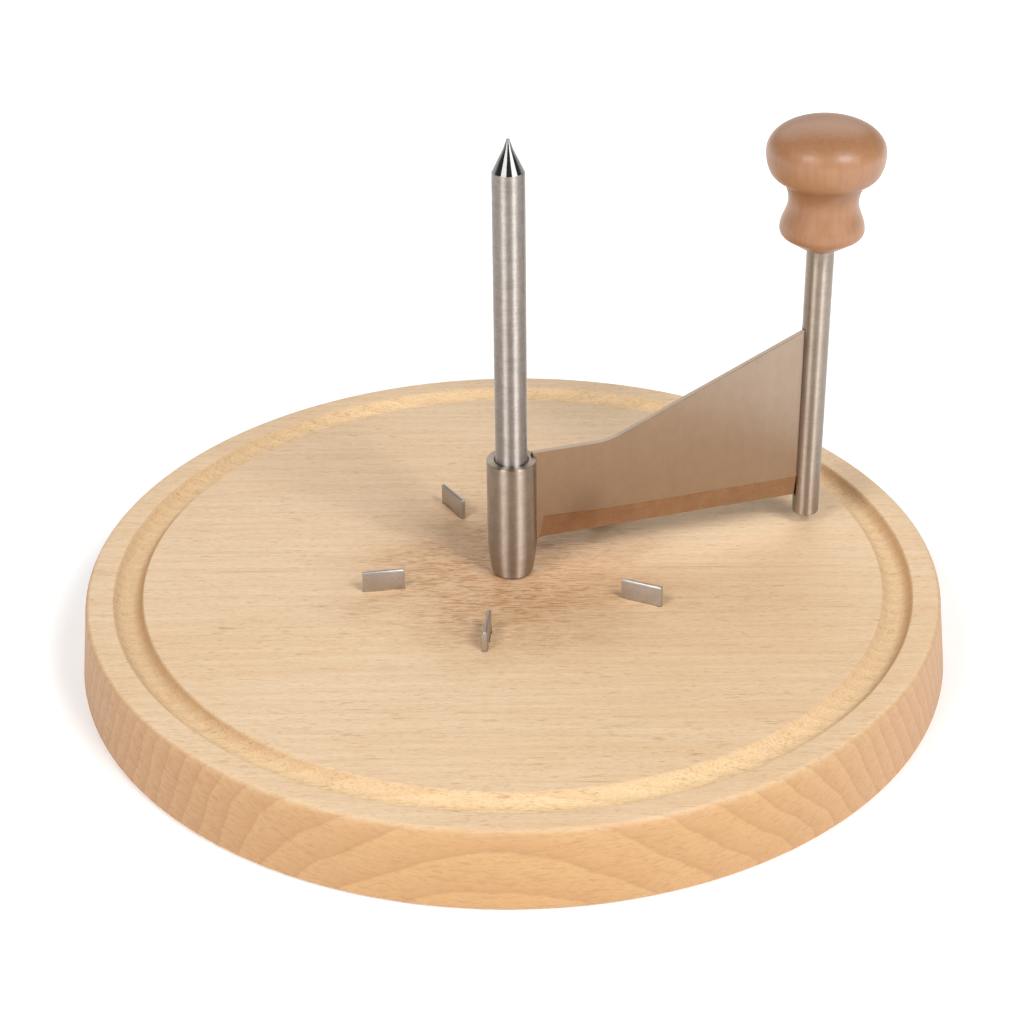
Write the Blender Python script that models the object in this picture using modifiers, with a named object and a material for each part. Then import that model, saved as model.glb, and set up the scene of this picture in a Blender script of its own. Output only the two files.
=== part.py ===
"""Rotary cheese scraper board, in metres, +Z up.

A cheese is pushed on the upright spindle of a round grooved board and held from turning by five small
plates. A sleeve slides down the spindle on to the cheese, and a knob on a post turns the blade that is
fixed between sleeve and post, so that it scrapes curls off the cheese.

The origin is the middle of the board's underside. The scraper points SCRAPER_HEADING round from +X.
"""

import math

import bmesh
import bpy

# Clearances
FIT_GAP = 0.0003  # between pieces that touch, seat or run on one another

# Board
BOARD_RADIUS = 0.110  # at the top face
BOARD_FLARE = 0.002  # how much wider the underside is
BOARD_THICKNESS = 0.0206
BOARD_TOP_ROUNDING = 0.0016
BOARD_FOOT_ROUNDING = 0.0012
RIM_WIDTH = 0.0072  # from the groove to the edge
GROOVE_WIDTH = 0.0075
GROOVE_DEPTH = 0.0030
SPINDLE_SEAT_DEPTH = 0.0070  # how far the full rod goes into the board
NUT_RECESS_RADIUS = 0.0120
NUT_RECESS_DEPTH = 0.0076

# Spindle, its washer and its nut
SPINDLE_RADIUS = 0.00405
SPINDLE_HEIGHT = 0.1190  # above the board
TIP_LENGTH = 0.0081
SHANK_RADIUS = 0.0030
SHANK_SETBACK = 0.0010  # from the underside to the shank's end
WASHER_RADIUS = 0.0100
WASHER_THICKNESS = 0.0014
NUT_ACROSS_FLATS = 0.0100
NUT_HEIGHT = 0.0040

# Holding plates: heading of each one's middle, its distance from the spindle, and how far it is turned
# away from pointing at the spindle, with angles in degrees
HOLDING_PLATES = ((-26.0, 0.0364, 1.5), (47.0, 0.0365, 0.0), (116.9, 0.0349, 4.2), (194.8, 0.0342, -6.3),
                  (258.8, 0.0335, 5.0))
PLATE_LENGTH = 0.0108
PLATE_HEIGHT = 0.0057  # above the board
PLATE_THICKNESS = 0.0011
PLATE_DEPTH = 0.0045  # into the board
PLATE_CORNER = 0.0006

# Sleeve
SLEEVE_WALL = 0.0020
SLEEVE_HEIGHT = 0.0326
SLEEVE_TAPER_HEIGHT = 0.0095
SLEEVE_FOOT_WALL = 0.00095
SLEEVE_EDGE = 0.00025
SLEEVE_SLOT_DEPTH = 0.0012

# Blade
SCRAPER_HEADING = math.radians(17.0)
BLADE_THICKNESS = 0.0015
BLADE_EDGE_HEIGHT = 0.0087  # of the cutting edge above the board
BLADE_PROUD = 0.0011  # of the blade's top above the sleeve
BLADE_BEND_REACH = 0.0261  # from the spindle's axis to where the top edge starts to rise
BLADE_BEND_RADIUS = 0.0140
BLADE_OUTER_HEIGHT = 0.0572  # of its top above the board, at the post
BEVEL_HEIGHT = 0.0057
BEVEL_START = 0.0018  # from the sleeve
BEVEL_EDGE_THICKNESS = 0.0010

# Post and the ring that keeps the knob on it
POST_RADIUS = 0.0035
POST_TO_GROOVE = 0.0098
POST_FOOT_HEIGHT = 0.0030  # above the board
POST_EDGE = 0.0006
POST_SLOT_DEPTH = 0.0012
NECK_RADIUS = 0.0025
NECK_TIP = 0.0020  # above the ring
RING_RADIUS = 0.0036
RING_GROOVE_RADIUS = 0.0019
RING_THICKNESS = 0.0008
RING_OPENING = math.radians(70.0)

# Knob and its bush
KNOB_BASE_HEIGHT = 0.0799  # of its lowest face above the board
KNOB_FOOT_RADIUS = 0.0046
KNOB_FOOT_RISE = 0.0028
KNOB_COLLAR_RADIUS = 0.01068
KNOB_COLLAR_HEIGHT = 0.0051
KNOB_NECK_RADIUS = 0.0088
KNOB_NECK_HEIGHT = 0.0126
KNOB_CREASE_RADIUS = 0.0106
KNOB_CREASE_HEIGHT = 0.0185
KNOB_HEAD_RADIUS = 0.0149
KNOB_HEAD_HEIGHT = 0.0255  # where the head is widest
KNOB_DOME_HEIGHT = 0.0079  # above that
KNOB_FULLNESS = 0.85  # of the head's curves: 1 makes them elliptical, and less makes them squarer
BUSH_WALL = 0.0013
BUSH_LENGTH = 0.0165

# How finely curved faces are divided
BOARD_STEPS = 96
ROD_STEPS = 40
KNOB_STEPS = 48

# Places worked out from the sizes above
BOARD_TOP = BOARD_THICKNESS
GROOVE_OUTER_RADIUS = BOARD_RADIUS - RIM_WIDTH
GROOVE_INNER_RADIUS = GROOVE_OUTER_RADIUS - GROOVE_WIDTH
POST_REACH = GROOVE_INNER_RADIUS - POST_TO_GROOVE - POST_RADIUS
SEAT_BORE_RADIUS = SPINDLE_RADIUS + FIT_GAP
SHANK_BORE_RADIUS = SHANK_RADIUS + FIT_GAP
SLEEVE_BORE_RADIUS = SPINDLE_RADIUS + FIT_GAP
SLEEVE_RADIUS = SLEEVE_BORE_RADIUS + SLEEVE_WALL
SLEEVE_FOOT_RADIUS = SLEEVE_BORE_RADIUS + SLEEVE_FOOT_WALL
SLEEVE_FOOT = BOARD_TOP + FIT_GAP
SLEEVE_TOP = SLEEVE_FOOT + SLEEVE_HEIGHT
BLADE_EDGE = BOARD_TOP + BLADE_EDGE_HEIGHT
BLADE_START = SLEEVE_RADIUS - SLEEVE_SLOT_DEPTH + FIT_GAP
BLADE_END = POST_REACH - POST_RADIUS + POST_SLOT_DEPTH - FIT_GAP
KNOB_BASE = BOARD_TOP + KNOB_BASE_HEIGHT
BUSH_FOOT = KNOB_BASE
BUSH_TOP = BUSH_FOOT + BUSH_LENGTH
BUSH_RADIUS = NECK_RADIUS + FIT_GAP + BUSH_WALL
RING_FOOT = BUSH_TOP + FIT_GAP
NECK_TOP = RING_FOOT + RING_THICKNESS + NECK_TIP
KNOB_BORE_RADIUS = BUSH_RADIUS + FIT_GAP
KNOB_BORE_TOP = NECK_TOP + FIT_GAP


def clear_scene():
    """Removes whatever the scene starts with."""
    for obj in list(bpy.data.objects):
        bpy.data.objects.remove(obj, do_unlink=True)


def make_collection(name):
    """A new collection in the scene."""
    collection = bpy.data.collections.new(name)
    bpy.context.scene.collection.children.link(collection)
    return collection


def make_material(name, colour, roughness, metallic=0.0):
    """A Principled BSDF material of one colour."""
    material = bpy.data.materials.new(name)
    material.use_nodes = True
    shader = material.node_tree.nodes["Principled BSDF"]
    shader.inputs["Base Color"].default_value = (*colour, 1.0)
    shader.inputs["Roughness"].default_value = roughness
    shader.inputs["Metallic"].default_value = metallic
    return material


def add_object(name, data, collection, material=None):
    """A new object for this mesh, in this collection, shaded smooth between sharp edges."""
    obj = bpy.data.objects.new(name, data)
    collection.objects.link(obj)
    if material:
        data.materials.append(material)
        data.shade_smooth()
        data.set_sharp_from_angle(angle=math.radians(35))
    return obj


def arc(centre_x, centre_z, radius_x, radius_z, start, end, steps):
    """Points of an elliptical arc in the XZ plane, from start to end in degrees."""
    points = []
    for step in range(steps + 1):
        angle = math.radians(start + (end - start) * step / steps)
        points.append((centre_x + radius_x * math.cos(angle), centre_z + radius_z * math.sin(angle)))
    return points


def turned(name, profile, steps, collection, material=None, ring=False):
    """A piece turned about Z from (radius, height) points that run down its outer side.

    A ring's profile closes on itself. Any other profile starts and ends on the axis.
    """
    mesh = bpy.data.meshes.new(name)
    shape = bmesh.new()
    points = [shape.verts.new((radius, 0.0, height)) for radius, height in profile]
    for first, second in zip(points, points[1:]):
        shape.edges.new((first, second))
    if ring:
        shape.edges.new((points[-1], points[0]))
    shape.to_mesh(mesh)
    shape.free()
    obj = add_object(name, mesh, collection, material)
    screw = obj.modifiers.new("Turn", "SCREW")
    screw.axis = "Z"
    screw.steps = steps
    screw.render_steps = steps
    screw.use_merge_vertices = True
    screw.merge_threshold = 0.00001
    screw.use_smooth_shade = True
    return obj


def add_block(name, low, high, collection, material=None):
    """A box between two corners, with its origin at the world's."""
    mesh = bpy.data.meshes.new(name)
    shape = bmesh.new()
    bmesh.ops.create_cube(shape, size=1.0)
    size = [b - a for a, b in zip(low, high)]
    middle = [(a + b) / 2 for a, b in zip(low, high)]
    bmesh.ops.scale(shape, vec=size, verts=shape.verts)
    bmesh.ops.translate(shape, vec=middle, verts=shape.verts)
    shape.to_mesh(mesh)
    shape.free()
    return add_object(name, mesh, collection, material)


def as_cutter(obj):
    """Marks an object as a cutter, which isn't part of the model."""
    obj.hide_render = True
    obj.display_type = "WIRE"
    return obj


def cut(obj, cutter):
    """Takes the cutter's shape out of the object."""
    boolean = obj.modifiers.new("Cut " + cutter.name, "BOOLEAN")
    boolean.operation = "DIFFERENCE"
    boolean.object = as_cutter(cutter)


def rounded_outline(corners, steps=6):
    """The points of an outline of (x, z, radius) corners, each rounded with its radius."""
    points = []
    for index, (x, z, radius) in enumerate(corners):
        if radius == 0.0:
            points.append((x, z))
            continue
        before_x, before_z, _ = corners[index - 1]
        after_x, after_z, _ = corners[(index + 1) % len(corners)]
        into = math.atan2(z - before_z, x - before_x)
        out = math.atan2(after_z - z, after_x - x)
        turn = (out - into + math.pi) % (2 * math.pi) - math.pi
        reach = radius * math.tan(abs(turn) / 2)
        side = math.copysign(math.pi / 2, turn)
        centre_x = x - reach * math.cos(into) + radius * math.cos(into + side)
        centre_z = z - reach * math.sin(into) + radius * math.sin(into + side)
        for step in range(steps + 1):
            angle = into - side + turn * step / steps
            points.append((centre_x + radius * math.cos(angle), centre_z + radius * math.sin(angle)))
    return points


def sheet_piece(name, outline, thickness, collection, material):
    """A flat piece in the XZ plane with this outline, as thick as given along Y."""
    curve = bpy.data.curves.new(name + "_outline", "CURVE")
    curve.dimensions = "2D"
    curve.fill_mode = "BOTH"
    curve.extrude = thickness / 2
    spline = curve.splines.new("POLY")
    spline.points.add(len(outline) - 1)
    for point, (x, z) in zip(spline.points, outline):
        point.co = (x, z, 0.0, 1.0)
    spline.use_cyclic_u = True
    flat = bpy.data.objects.new(name + "_outline", curve)
    collection.objects.link(flat)
    graph = bpy.context.evaluated_depsgraph_get()
    mesh = bpy.data.meshes.new_from_object(flat.evaluated_get(graph))
    bpy.data.objects.remove(flat, do_unlink=True)
    shape = bmesh.new()
    shape.from_mesh(mesh)
    bmesh.ops.remove_doubles(shape, verts=shape.verts, dist=0.00001)
    for vertex in shape.verts:
        x, z, y = vertex.co
        vertex.co = (x, -y, z)
    bmesh.ops.recalc_face_normals(shape, faces=shape.faces)
    shape.to_mesh(mesh)
    shape.free()
    mesh.materials.clear()
    return add_object(name, mesh, collection, material)


def board_profile():
    """The board's section: top with its groove, rounded rim, underside, nut recess and stepped bore."""
    top = BOARD_TOP
    groove_middle = (GROOVE_INNER_RADIUS + GROOVE_OUTER_RADIUS) / 2
    half = GROOVE_WIDTH / 2
    cove_radius = (half**2 + GROOVE_DEPTH**2) / (2 * GROOVE_DEPTH)
    half_angle = math.degrees(math.asin(half / cove_radius))
    cove_centre = top - GROOVE_DEPTH + cove_radius
    foot_radius = BOARD_RADIUS + BOARD_FLARE
    seat = top - SPINDLE_SEAT_DEPTH - FIT_GAP
    profile = [(SEAT_BORE_RADIUS, top)]
    profile += arc(groove_middle, cove_centre, cove_radius, cove_radius,
                   270 - half_angle, 270 + half_angle, 8)
    profile += arc(BOARD_RADIUS - BOARD_TOP_ROUNDING, top - BOARD_TOP_ROUNDING,
                   BOARD_TOP_ROUNDING, BOARD_TOP_ROUNDING, 90, 0, 5)
    profile += arc(foot_radius - BOARD_FOOT_ROUNDING, BOARD_FOOT_ROUNDING,
                   BOARD_FOOT_ROUNDING, BOARD_FOOT_ROUNDING, 0, -90, 3)
    profile += [(NUT_RECESS_RADIUS, 0.0), (NUT_RECESS_RADIUS, NUT_RECESS_DEPTH)]
    profile += [(SHANK_BORE_RADIUS, NUT_RECESS_DEPTH), (SHANK_BORE_RADIUS, seat), (SEAT_BORE_RADIUS, seat)]
    return profile


def place_on_board(obj, heading, distance, twist):
    """Stands a piece modelled about its own middle at this heading and distance, with angles in degrees."""
    around = math.radians(heading)
    obj.rotation_euler = (0.0, 0.0, math.radians(heading + twist))
    obj.location = (distance * math.cos(around), distance * math.sin(around), 0.0)


def build_board(parts, cutters):
    """The turned board with a slot for each holding plate."""
    beech = make_material("beech", (0.80, 0.58, 0.36), 0.5)
    board = turned("board", board_profile(), BOARD_STEPS, parts, beech, ring=True)
    half_length = PLATE_LENGTH / 2 + FIT_GAP
    half_width = PLATE_THICKNESS / 2 + FIT_GAP
    bottom = BOARD_TOP - PLATE_DEPTH - FIT_GAP
    for number, place in enumerate(HOLDING_PLATES, start=1):
        slot = add_block(f"plate_slot_{number}", (-half_length, -half_width, bottom),
                         (half_length, half_width, BOARD_TOP + PLATE_DEPTH), cutters)
        place_on_board(slot, *place)
        cut(board, slot)


def build_holding_plates(parts):
    """The small steel plates that stand in the board and keep the cheese from turning."""
    foot = BOARD_TOP - PLATE_DEPTH
    crown = BOARD_TOP + PLATE_HEIGHT
    half = PLATE_LENGTH / 2
    corners = ((-half, foot, 0.0), (half, foot, 0.0),
               (half, crown, PLATE_CORNER), (-half, crown, PLATE_CORNER))
    for number, place in enumerate(HOLDING_PLATES, start=1):
        name = f"holding_plate_{number}"
        steel = make_material(name + "_steel", (0.52, 0.50, 0.48), 0.4, 1.0)
        plate = sheet_piece(name, rounded_outline(corners, 3), PLATE_THICKNESS, parts, steel)
        place_on_board(plate, *place)


def build_spindle(parts):
    """The pointed rod: tip, full rod down to its shoulder in the board, and the shank for the nut."""
    steel = make_material("spindle_steel", (0.60, 0.58, 0.55), 0.28, 1.0)
    tip = BOARD_TOP + SPINDLE_HEIGHT
    shoulder = BOARD_TOP - SPINDLE_SEAT_DEPTH
    profile = [(0.0, tip), (SPINDLE_RADIUS, tip - TIP_LENGTH), (SPINDLE_RADIUS, shoulder),
               (SHANK_RADIUS, shoulder), (SHANK_RADIUS, SHANK_SETBACK), (0.0, SHANK_SETBACK)]
    turned("spindle", profile, ROD_STEPS, parts, steel)


def build_spindle_fastening(parts, cutters):
    """The washer and the nut that clamp the spindle in the board, both in the recess underneath."""
    zinc = make_material("washer_steel", (0.55, 0.55, 0.56), 0.35, 1.0)
    washer_top = NUT_RECESS_DEPTH - FIT_GAP
    washer_foot = washer_top - WASHER_THICKNESS
    bore = SHANK_RADIUS + FIT_GAP
    turned("spindle_washer", [(bore, washer_top), (WASHER_RADIUS, washer_top), (WASHER_RADIUS, washer_foot),
                              (bore, washer_foot)], ROD_STEPS, parts, zinc, ring=True)

    steel = make_material("nut_steel", (0.50, 0.50, 0.51), 0.4, 1.0)
    nut_top = washer_foot - FIT_GAP
    mesh = bpy.data.meshes.new("spindle_nut")
    shape = bmesh.new()
    corner_radius = NUT_ACROSS_FLATS / 2 / math.cos(math.radians(30))
    bmesh.ops.create_cone(shape, cap_ends=True, segments=6, radius1=corner_radius, radius2=corner_radius,
                          depth=NUT_HEIGHT)
    bmesh.ops.translate(shape, vec=(0.0, 0.0, nut_top - NUT_HEIGHT / 2), verts=shape.verts)
    shape.to_mesh(mesh)
    shape.free()
    nut = add_object("spindle_nut", mesh, parts, steel)
    above = nut_top + FIT_GAP
    below = nut_top - NUT_HEIGHT - FIT_GAP
    hole = turned("nut_bore", [(0.0, above), (bore, above), (bore, below), (0.0, below)], ROD_STEPS, cutters)
    cut(nut, hole)


def build_sleeve(parts, cutters, pivot):
    """The tapered sleeve that runs on the spindle, with the slot that holds the blade's inner end."""
    steel = make_material("sleeve_steel", (0.56, 0.53, 0.50), 0.32, 1.0)
    taper_top = SLEEVE_FOOT + SLEEVE_TAPER_HEIGHT
    shrink = SLEEVE_RADIUS - SLEEVE_FOOT_RADIUS
    profile = [(SLEEVE_BORE_RADIUS, SLEEVE_TOP), (SLEEVE_RADIUS - SLEEVE_EDGE, SLEEVE_TOP),
               (SLEEVE_RADIUS, SLEEVE_TOP - SLEEVE_EDGE)]
    drop = SLEEVE_TAPER_HEIGHT - SLEEVE_EDGE
    for step in range(7):
        share = step / 6
        profile.append((SLEEVE_RADIUS - shrink * share**1.6, taper_top - drop * share))
    profile += [(SLEEVE_FOOT_RADIUS - SLEEVE_EDGE, SLEEVE_FOOT), (SLEEVE_BORE_RADIUS, SLEEVE_FOOT)]
    sleeve = turned("sleeve", profile, ROD_STEPS, parts, steel, ring=True)
    sleeve.parent = pivot
    half = BLADE_THICKNESS / 2 + FIT_GAP
    slot = add_block("sleeve_slot", (SLEEVE_RADIUS - SLEEVE_SLOT_DEPTH, -half, BLADE_EDGE - FIT_GAP),
                     (2 * SLEEVE_RADIUS, half, SLEEVE_TOP + BLADE_PROUD), cutters)
    slot.parent = pivot
    cut(sleeve, slot)


def build_blade(parts, cutters, pivot):
    """The flat blade: level over its inner part, rising to the post, with a ground bevel on one side."""
    steel = make_material("blade_steel", (0.50, 0.46, 0.43), 0.3, 1.0)
    inner_top = SLEEVE_TOP + BLADE_PROUD
    outer_top = BOARD_TOP + BLADE_OUTER_HEIGHT
    corners = ((BLADE_START, BLADE_EDGE, 0.0), (BLADE_END, BLADE_EDGE, 0.0), (BLADE_END, outer_top, 0.0),
               (BLADE_BEND_REACH, inner_top, BLADE_BEND_RADIUS), (BLADE_START, inner_top, 0.0))
    blade = sheet_piece("blade", rounded_outline(corners), BLADE_THICKNESS, parts, steel)
    blade.parent = pivot
    half = BLADE_THICKNESS / 2
    slope = math.atan2(BLADE_THICKNESS - BEVEL_EDGE_THICKNESS, BEVEL_HEIGHT)
    grinder = add_block("bevel_grinder", (SLEEVE_RADIUS + BEVEL_START, -4 * half, -2 * BEVEL_HEIGHT),
                        (BLADE_END + BLADE_THICKNESS, 0.0, BEVEL_HEIGHT / math.cos(slope) + BLADE_THICKNESS),
                        cutters)
    grinder.rotation_euler = (slope, 0.0, 0.0)
    grinder.location = (0.0, half - BEVEL_EDGE_THICKNESS, BLADE_EDGE)
    grinder.parent = pivot
    cut(blade, grinder)


def build_post(parts, cutters, pivot):
    """The upright post at the blade's outer end, with the neck that carries the knob."""
    steel = make_material("post_steel", (0.58, 0.56, 0.53), 0.25, 1.0)
    foot = BOARD_TOP + POST_FOOT_HEIGHT
    shoulder = KNOB_BASE - FIT_GAP
    ring_seat_foot = RING_FOOT - FIT_GAP
    ring_seat_top = RING_FOOT + RING_THICKNESS + FIT_GAP
    profile = [(0.0, NECK_TOP), (NECK_RADIUS, NECK_TOP), (NECK_RADIUS, ring_seat_top),
               (RING_GROOVE_RADIUS, ring_seat_top), (RING_GROOVE_RADIUS, ring_seat_foot),
               (NECK_RADIUS, ring_seat_foot), (NECK_RADIUS, shoulder), (POST_RADIUS, shoulder)]
    profile += arc(POST_RADIUS - POST_EDGE, foot + POST_EDGE, POST_EDGE, POST_EDGE, 0, -90, 3)
    profile.append((0.0, foot))
    post = turned("post", profile, ROD_STEPS, parts, steel)
    post.location = (POST_REACH, 0.0, 0.0)
    post.parent = pivot
    half = BLADE_THICKNESS / 2 + FIT_GAP
    slot_top = BOARD_TOP + BLADE_OUTER_HEIGHT + FIT_GAP
    slot = add_block("post_slot", (-2 * POST_RADIUS, -half, BLADE_EDGE - FIT_GAP),
                     (POST_SLOT_DEPTH - POST_RADIUS, half, slot_top), cutters)
    slot.location = (POST_REACH, 0.0, 0.0)
    slot.parent = pivot
    cut(post, slot)


def build_retaining_ring(parts, cutters, pivot):
    """The open spring ring in the neck's groove that keeps the knob from lifting off."""
    steel = make_material("ring_steel", (0.42, 0.42, 0.43), 0.45, 1.0)
    top = RING_FOOT + RING_THICKNESS
    bore = RING_GROOVE_RADIUS + FIT_GAP
    ring = turned("retaining_ring", [(bore, top), (RING_RADIUS, top), (RING_RADIUS, RING_FOOT),
                                     (bore, RING_FOOT)], ROD_STEPS, parts, steel, ring=True)
    ring.location = (POST_REACH, 0.0, 0.0)
    ring.parent = pivot
    half = RING_RADIUS * math.sin(RING_OPENING / 2)
    opening = add_block("ring_opening", (0.0, -half, RING_FOOT - RING_THICKNESS),
                        (2 * RING_RADIUS, half, top + RING_THICKNESS), cutters)
    opening.location = (POST_REACH, 0.0, 0.0)
    opening.parent = pivot
    cut(ring, opening)


def knob_profile():
    """The knob's outer side from the crown down: domed head, waisted neck, collar and shallow foot."""
    profile = []
    for step in range(10):
        angle = math.pi / 2 * (1 - step / 9)
        profile.append((KNOB_HEAD_RADIUS * math.cos(angle)**KNOB_FULLNESS,
                        KNOB_HEAD_HEIGHT + KNOB_DOME_HEIGHT * math.sin(angle)))
    overhang = KNOB_HEAD_RADIUS - KNOB_CREASE_RADIUS
    for step in range(1, 7):
        angle = math.radians(12 * step)
        profile.append((KNOB_CREASE_RADIUS + overhang * math.cos(angle)**KNOB_FULLNESS,
                        KNOB_HEAD_HEIGHT - (KNOB_HEAD_HEIGHT - KNOB_CREASE_HEIGHT) * math.sin(angle)))
    waist = KNOB_CREASE_RADIUS - KNOB_NECK_RADIUS
    for step in range(1, 6):
        share = step / 5
        profile.append((KNOB_CREASE_RADIUS - waist * math.sin(share * math.pi / 2),
                        KNOB_CREASE_HEIGHT + (KNOB_NECK_HEIGHT - KNOB_CREASE_HEIGHT) * share))
    for step in range(1, 7):
        share = step / 6
        swell = 0.5 - 0.5 * math.cos(math.pi * share)
        profile.append((KNOB_NECK_RADIUS + (KNOB_COLLAR_RADIUS - KNOB_NECK_RADIUS) * swell,
                        KNOB_NECK_HEIGHT + (KNOB_COLLAR_HEIGHT - KNOB_NECK_HEIGHT) * share))
    rounding = KNOB_COLLAR_HEIGHT - KNOB_FOOT_RISE
    profile += arc(KNOB_COLLAR_RADIUS - rounding, KNOB_COLLAR_HEIGHT, rounding, rounding, -20, -60, 2)
    profile.append((KNOB_FOOT_RADIUS, 0.0))
    return [(radius, KNOB_BASE + height) for radius, height in profile]


def build_knob(parts, pivot):
    """The turned wooden knob with its blind bore, and the bush pressed in the bore."""
    wood = make_material("knob_wood", (0.62, 0.33, 0.14), 0.3)
    profile = knob_profile()
    profile += [(KNOB_BORE_RADIUS, KNOB_BASE), (KNOB_BORE_RADIUS, KNOB_BORE_TOP), (0.0, KNOB_BORE_TOP)]
    knob = turned("knob", profile, KNOB_STEPS, parts, wood)
    brass = make_material("bush_brass", (0.72, 0.55, 0.25), 0.35, 1.0)
    bore = NECK_RADIUS + FIT_GAP
    bush = turned("knob_bush", [(bore, BUSH_TOP), (BUSH_RADIUS, BUSH_TOP), (BUSH_RADIUS, BUSH_FOOT),
                                (bore, BUSH_FOOT)], ROD_STEPS, parts, brass, ring=True)
    for piece in (knob, bush):
        piece.location = (POST_REACH, 0.0, 0.0)
        piece.parent = pivot


def main():
    """Builds the board and what is fixed in it, then the scraper about its pivot on the spindle's axis."""
    clear_scene()
    parts = make_collection("rotary_cheese_scraper_board")
    cutters = make_collection("cutters")
    build_board(parts, cutters)
    build_holding_plates(parts)
    build_spindle(parts)
    build_spindle_fastening(parts, cutters)
    pivot = bpy.data.objects.new("scraper_pivot", None)
    pivot.rotation_euler = (0.0, 0.0, SCRAPER_HEADING)
    parts.objects.link(pivot)
    build_sleeve(parts, cutters, pivot)
    build_blade(parts, cutters, pivot)
    build_post(parts, cutters, pivot)
    build_retaining_ring(parts, cutters, pivot)
    build_knob(parts, pivot)


main()
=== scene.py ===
"""Looks of a rotary cheese scraper board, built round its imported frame.

The board, the holding plates, the spindle with its washer and nut, the scraper and its knob are remade as
fine meshes where the frame puts them. Sizes are in metres, and patterns are worked out in millimetres.
"""

from __future__ import annotations

import logging
import math
import random
from collections.abc import Callable, Sequence
from dataclasses import dataclass, field
from enum import Enum
from typing import Any

import bmesh
import bpy
from mathutils import Matrix, Vector

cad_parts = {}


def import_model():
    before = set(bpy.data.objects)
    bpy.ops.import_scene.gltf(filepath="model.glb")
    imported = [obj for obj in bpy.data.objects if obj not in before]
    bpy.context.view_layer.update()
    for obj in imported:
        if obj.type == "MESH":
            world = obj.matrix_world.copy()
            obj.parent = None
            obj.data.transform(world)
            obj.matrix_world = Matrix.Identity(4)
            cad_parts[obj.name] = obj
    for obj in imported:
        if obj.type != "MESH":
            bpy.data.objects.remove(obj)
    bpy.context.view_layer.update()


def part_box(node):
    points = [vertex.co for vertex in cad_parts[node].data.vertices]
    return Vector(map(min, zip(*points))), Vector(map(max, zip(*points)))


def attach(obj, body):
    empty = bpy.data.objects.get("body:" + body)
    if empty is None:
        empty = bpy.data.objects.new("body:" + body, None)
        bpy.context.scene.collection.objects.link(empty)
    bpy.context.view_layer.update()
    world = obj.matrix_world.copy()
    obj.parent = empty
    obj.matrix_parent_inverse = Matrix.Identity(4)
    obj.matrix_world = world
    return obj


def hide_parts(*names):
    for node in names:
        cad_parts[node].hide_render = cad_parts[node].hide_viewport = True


LOG = logging.getLogger("scraper_board")
MM = 0.001
MERGE = 1e-6
NEAR = 1e-5
FULL_TURN = 2 * math.pi

Colour = tuple[float, float, float]
Point = tuple[float, float, float]
Profile = list[tuple[float, float]]


# ---------------------------------------------------------------------------------------------- shaders


class Wire:
    """An output socket of a shader tree, with Python's arithmetic."""

    def __init__(self, paint: Paint, socket: bpy.types.NodeSocket) -> None:
        """Holds an output.

        Args:
            paint: the tree's builder.
            socket: the output that it stands for.
        """
        self.paint = paint
        self.socket = socket

    def __add__(self, other: Wire | float) -> Wire:
        """This plus other."""
        return self.paint.math("ADD", self, other)

    def __radd__(self, other: float) -> Wire:
        """A number plus this."""
        return self.paint.math("ADD", other, self)

    def __sub__(self, other: Wire | float) -> Wire:
        """This less other."""
        return self.paint.math("SUBTRACT", self, other)

    def __rsub__(self, other: float) -> Wire:
        """A number less this."""
        return self.paint.math("SUBTRACT", other, self)

    def __mul__(self, other: Wire | float) -> Wire:
        """This times other."""
        return self.paint.math("MULTIPLY", self, other)

    def __rmul__(self, other: float) -> Wire:
        """A number times this."""
        return self.paint.math("MULTIPLY", other, self)

    def __truediv__(self, other: Wire | float) -> Wire:
        """This divided by other."""
        return self.paint.math("DIVIDE", self, other)

    def __pow__(self, other: Wire | float) -> Wire:
        """This to a power."""
        return self.paint.math("POWER", self, other)

    def rises(self, low: float, high: float) -> Wire:
        """0 where this is below low, 1 where it is above high, and smooth between them."""
        return self.paint.node("ShaderNodeMapRange", {"interpolation_type": "SMOOTHSTEP"},
                               {"Value": self, "From Min": low, "From Max": high})

    def falls(self, low: float, high: float) -> Wire:
        """1 where this is below low, 0 where it is above high, and smooth between them."""
        return 1.0 - self.rises(low, high)


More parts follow.
